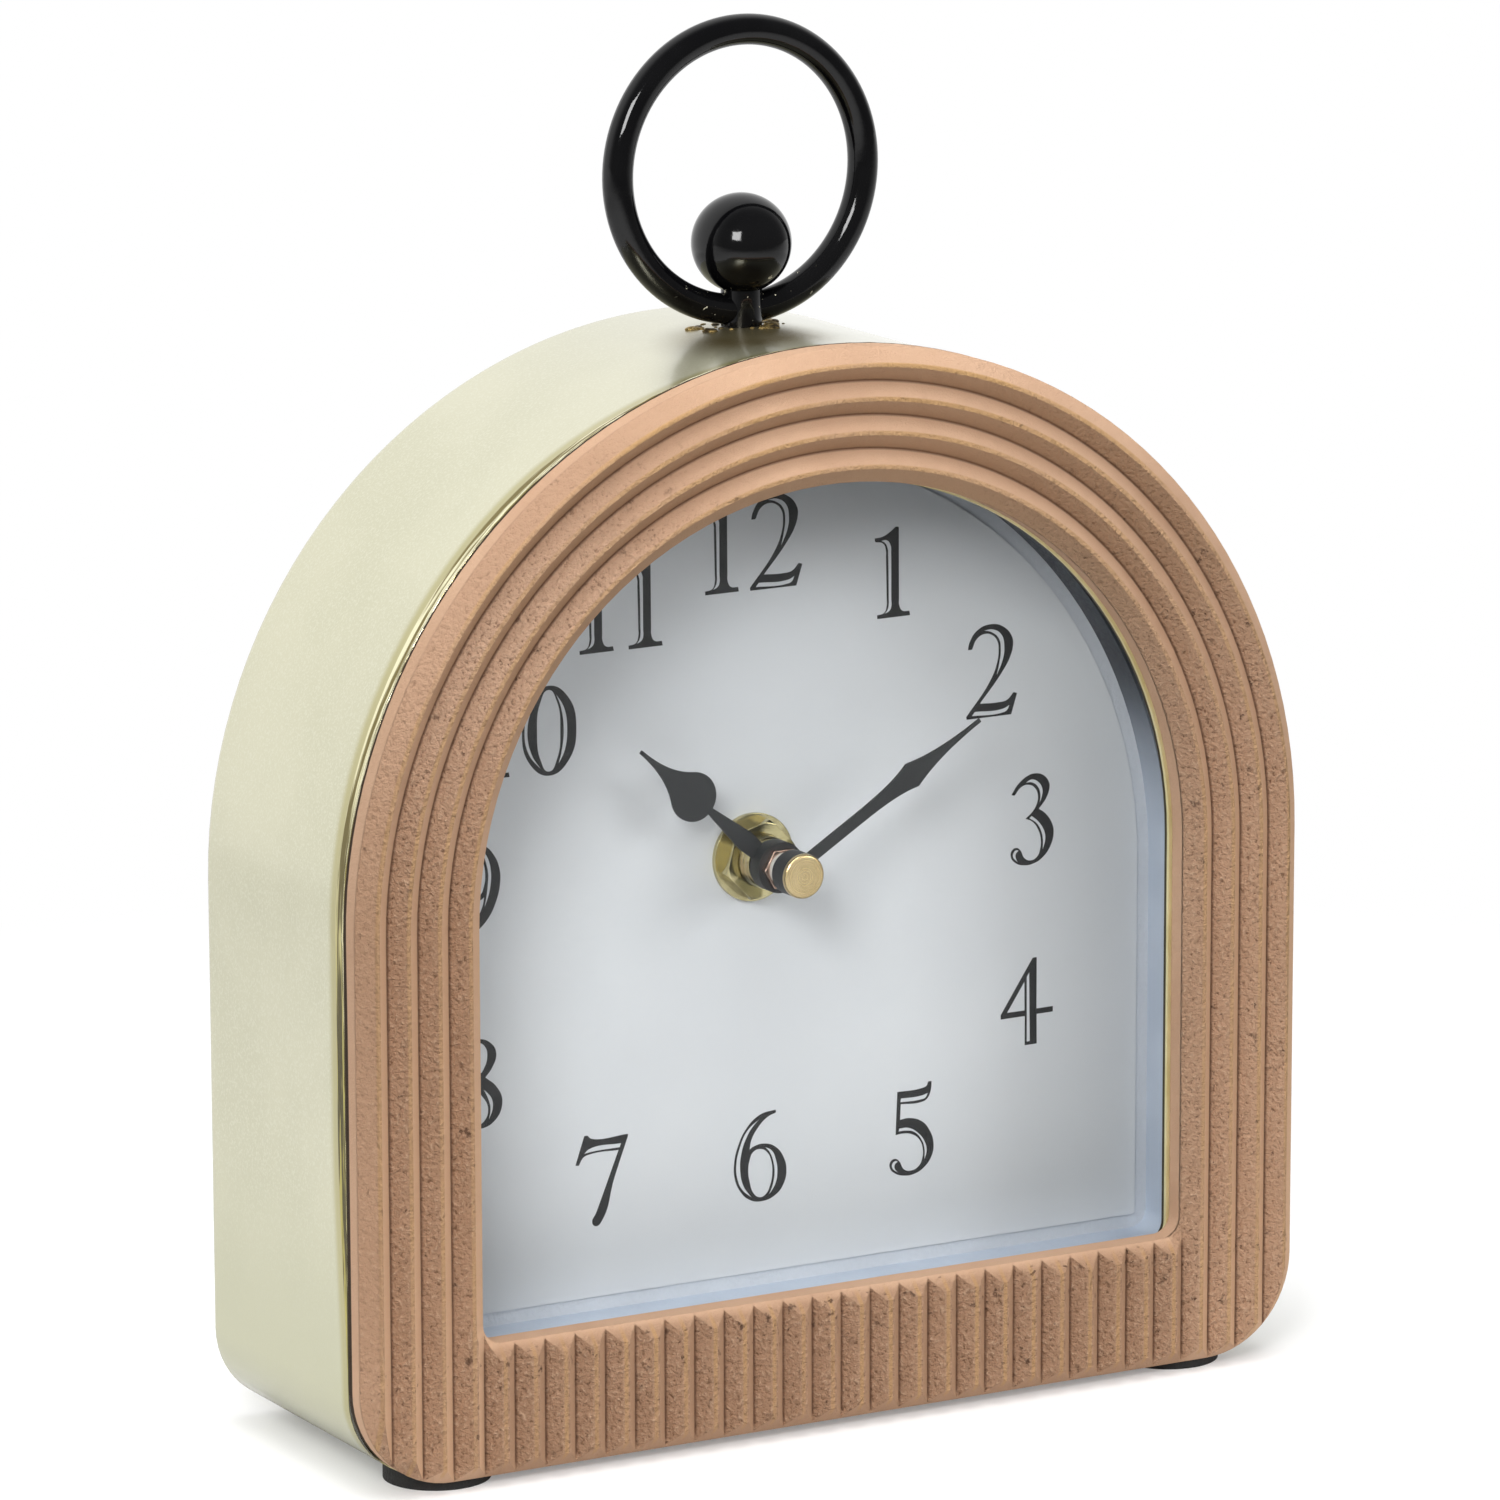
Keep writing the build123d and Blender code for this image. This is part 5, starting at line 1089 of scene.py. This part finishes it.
# Studio
def studio_floor():
    """A pale floor that reads as white, keeps the clock's soft shadow and runs into the world."""
    bm = bmesh.new()
    bmesh.ops.create_grid(bm, x_segments=1, y_segments=1, size=FLOOR_SIZE)
    mesh = mesh_of(bm, "floor")
    material, tree, shader, place = new_material("floor_white")
    away = measure(tree, "LENGTH", place)
    path = add(tree, "ShaderNodeLightPath").outputs
    mirrored = path["Is Glossy Ray"]
    far = between(tree, mirrored, fade(tree, away, FLOOR_NEAR, FLOOR_FAR),
                  fade(tree, away, MIRROR_NEAR, MIRROR_FAR))
    near_tone = blend(tree, mirrored, (0.74, 0.74, 0.74), (0.66, 0.66, 0.66))
    feed(tree, shader, Base_Color=blend(tree, far, near_tone, (0.0, 0.0, 0.0)))
    feed(tree, shader, Roughness=0.9, Specular_IOR_Level=0.0)
    seen = largest(tree, path["Is Camera Ray"], mirrored, path["Is Transmission Ray"])
    mirror_glow = between(tree, far, 0.0, fade(tree, axes(tree, place)[1], -1.2, 0.6, FRONT_GLOSS, 1.0))
    glow = between(tree, mirrored, between(tree, far, FLOOR_GLOW, 1.0), mirror_glow)
    feed(tree, shader, Emission_Color=WHITE, Emission_Strength=product(tree, seen, glow))
    mesh.materials.append(material)
    floor = bpy.data.objects.new("floor", mesh)
    bpy.context.scene.collection.objects.link(floor)


def studio_world():
    """White where it is seen, a grey fill where it only lights, and dimmer in gloss on the camera's side."""
    world = bpy.data.worlds.new("studio")
    bpy.context.scene.world = world
    world.use_nodes = True
    tree = world.node_tree
    path = add(tree, "ShaderNodeLightPath").outputs
    direction = add(tree, "ShaderNodeTexCoord").outputs["Generated"]
    turned = fade(tree, axes(tree, direction)[1], -0.7, 0.6)
    gloss = between(tree, product(tree, turned, turned), FRONT_GLOSS, 1.0)
    strength = between(tree, path["Is Glossy Ray"], WORLD_FILL, gloss)
    seen = largest(tree, path["Is Camera Ray"], path["Is Transmission Ray"])
    feed(tree, tree.nodes["Background"], Color=WHITE, Strength=between(tree, seen, strength, 1.0))


def softbox(name, offset, size, power, in_gloss):
    """A square soft lamp that faces the clock's middle."""
    lamp = bpy.data.lights.new(name, "AREA")
    lamp.size = size
    lamp.energy = power
    holder = bpy.data.objects.new(name, lamp)
    holder.location = CLOCK_MIDDLE + Vector(offset)
    holder.rotation_euler = (-Vector(offset)).to_track_quat("-Z", "Y").to_euler()
    holder.visible_glossy = in_gloss
    bpy.context.scene.collection.objects.link(holder)


def camera():
    """The photograph's camera."""
    lens = bpy.data.cameras.new("camera")
    lens.lens = CAMERA_LENS
    lens.sensor_width = CAMERA_SENSOR
    holder = bpy.data.objects.new("camera", lens)
    turn = (CAMERA_AIM - CAMERA_PLACE).to_track_quat("-Z", "Y").to_matrix().to_4x4()
    holder.matrix_world = Matrix.Translation(CAMERA_PLACE) @ turn @ Matrix.Rotation(CAMERA_ROLL, 4, "Z")
    bpy.context.scene.collection.objects.link(holder)
    bpy.context.scene.camera = holder


studio_floor()
studio_world()
for lamp_name, lamp_values in LAMPS.items():
    softbox(lamp_name, *lamp_values)
camera()

bpy.context.scene.view_settings.view_transform = "Standard"
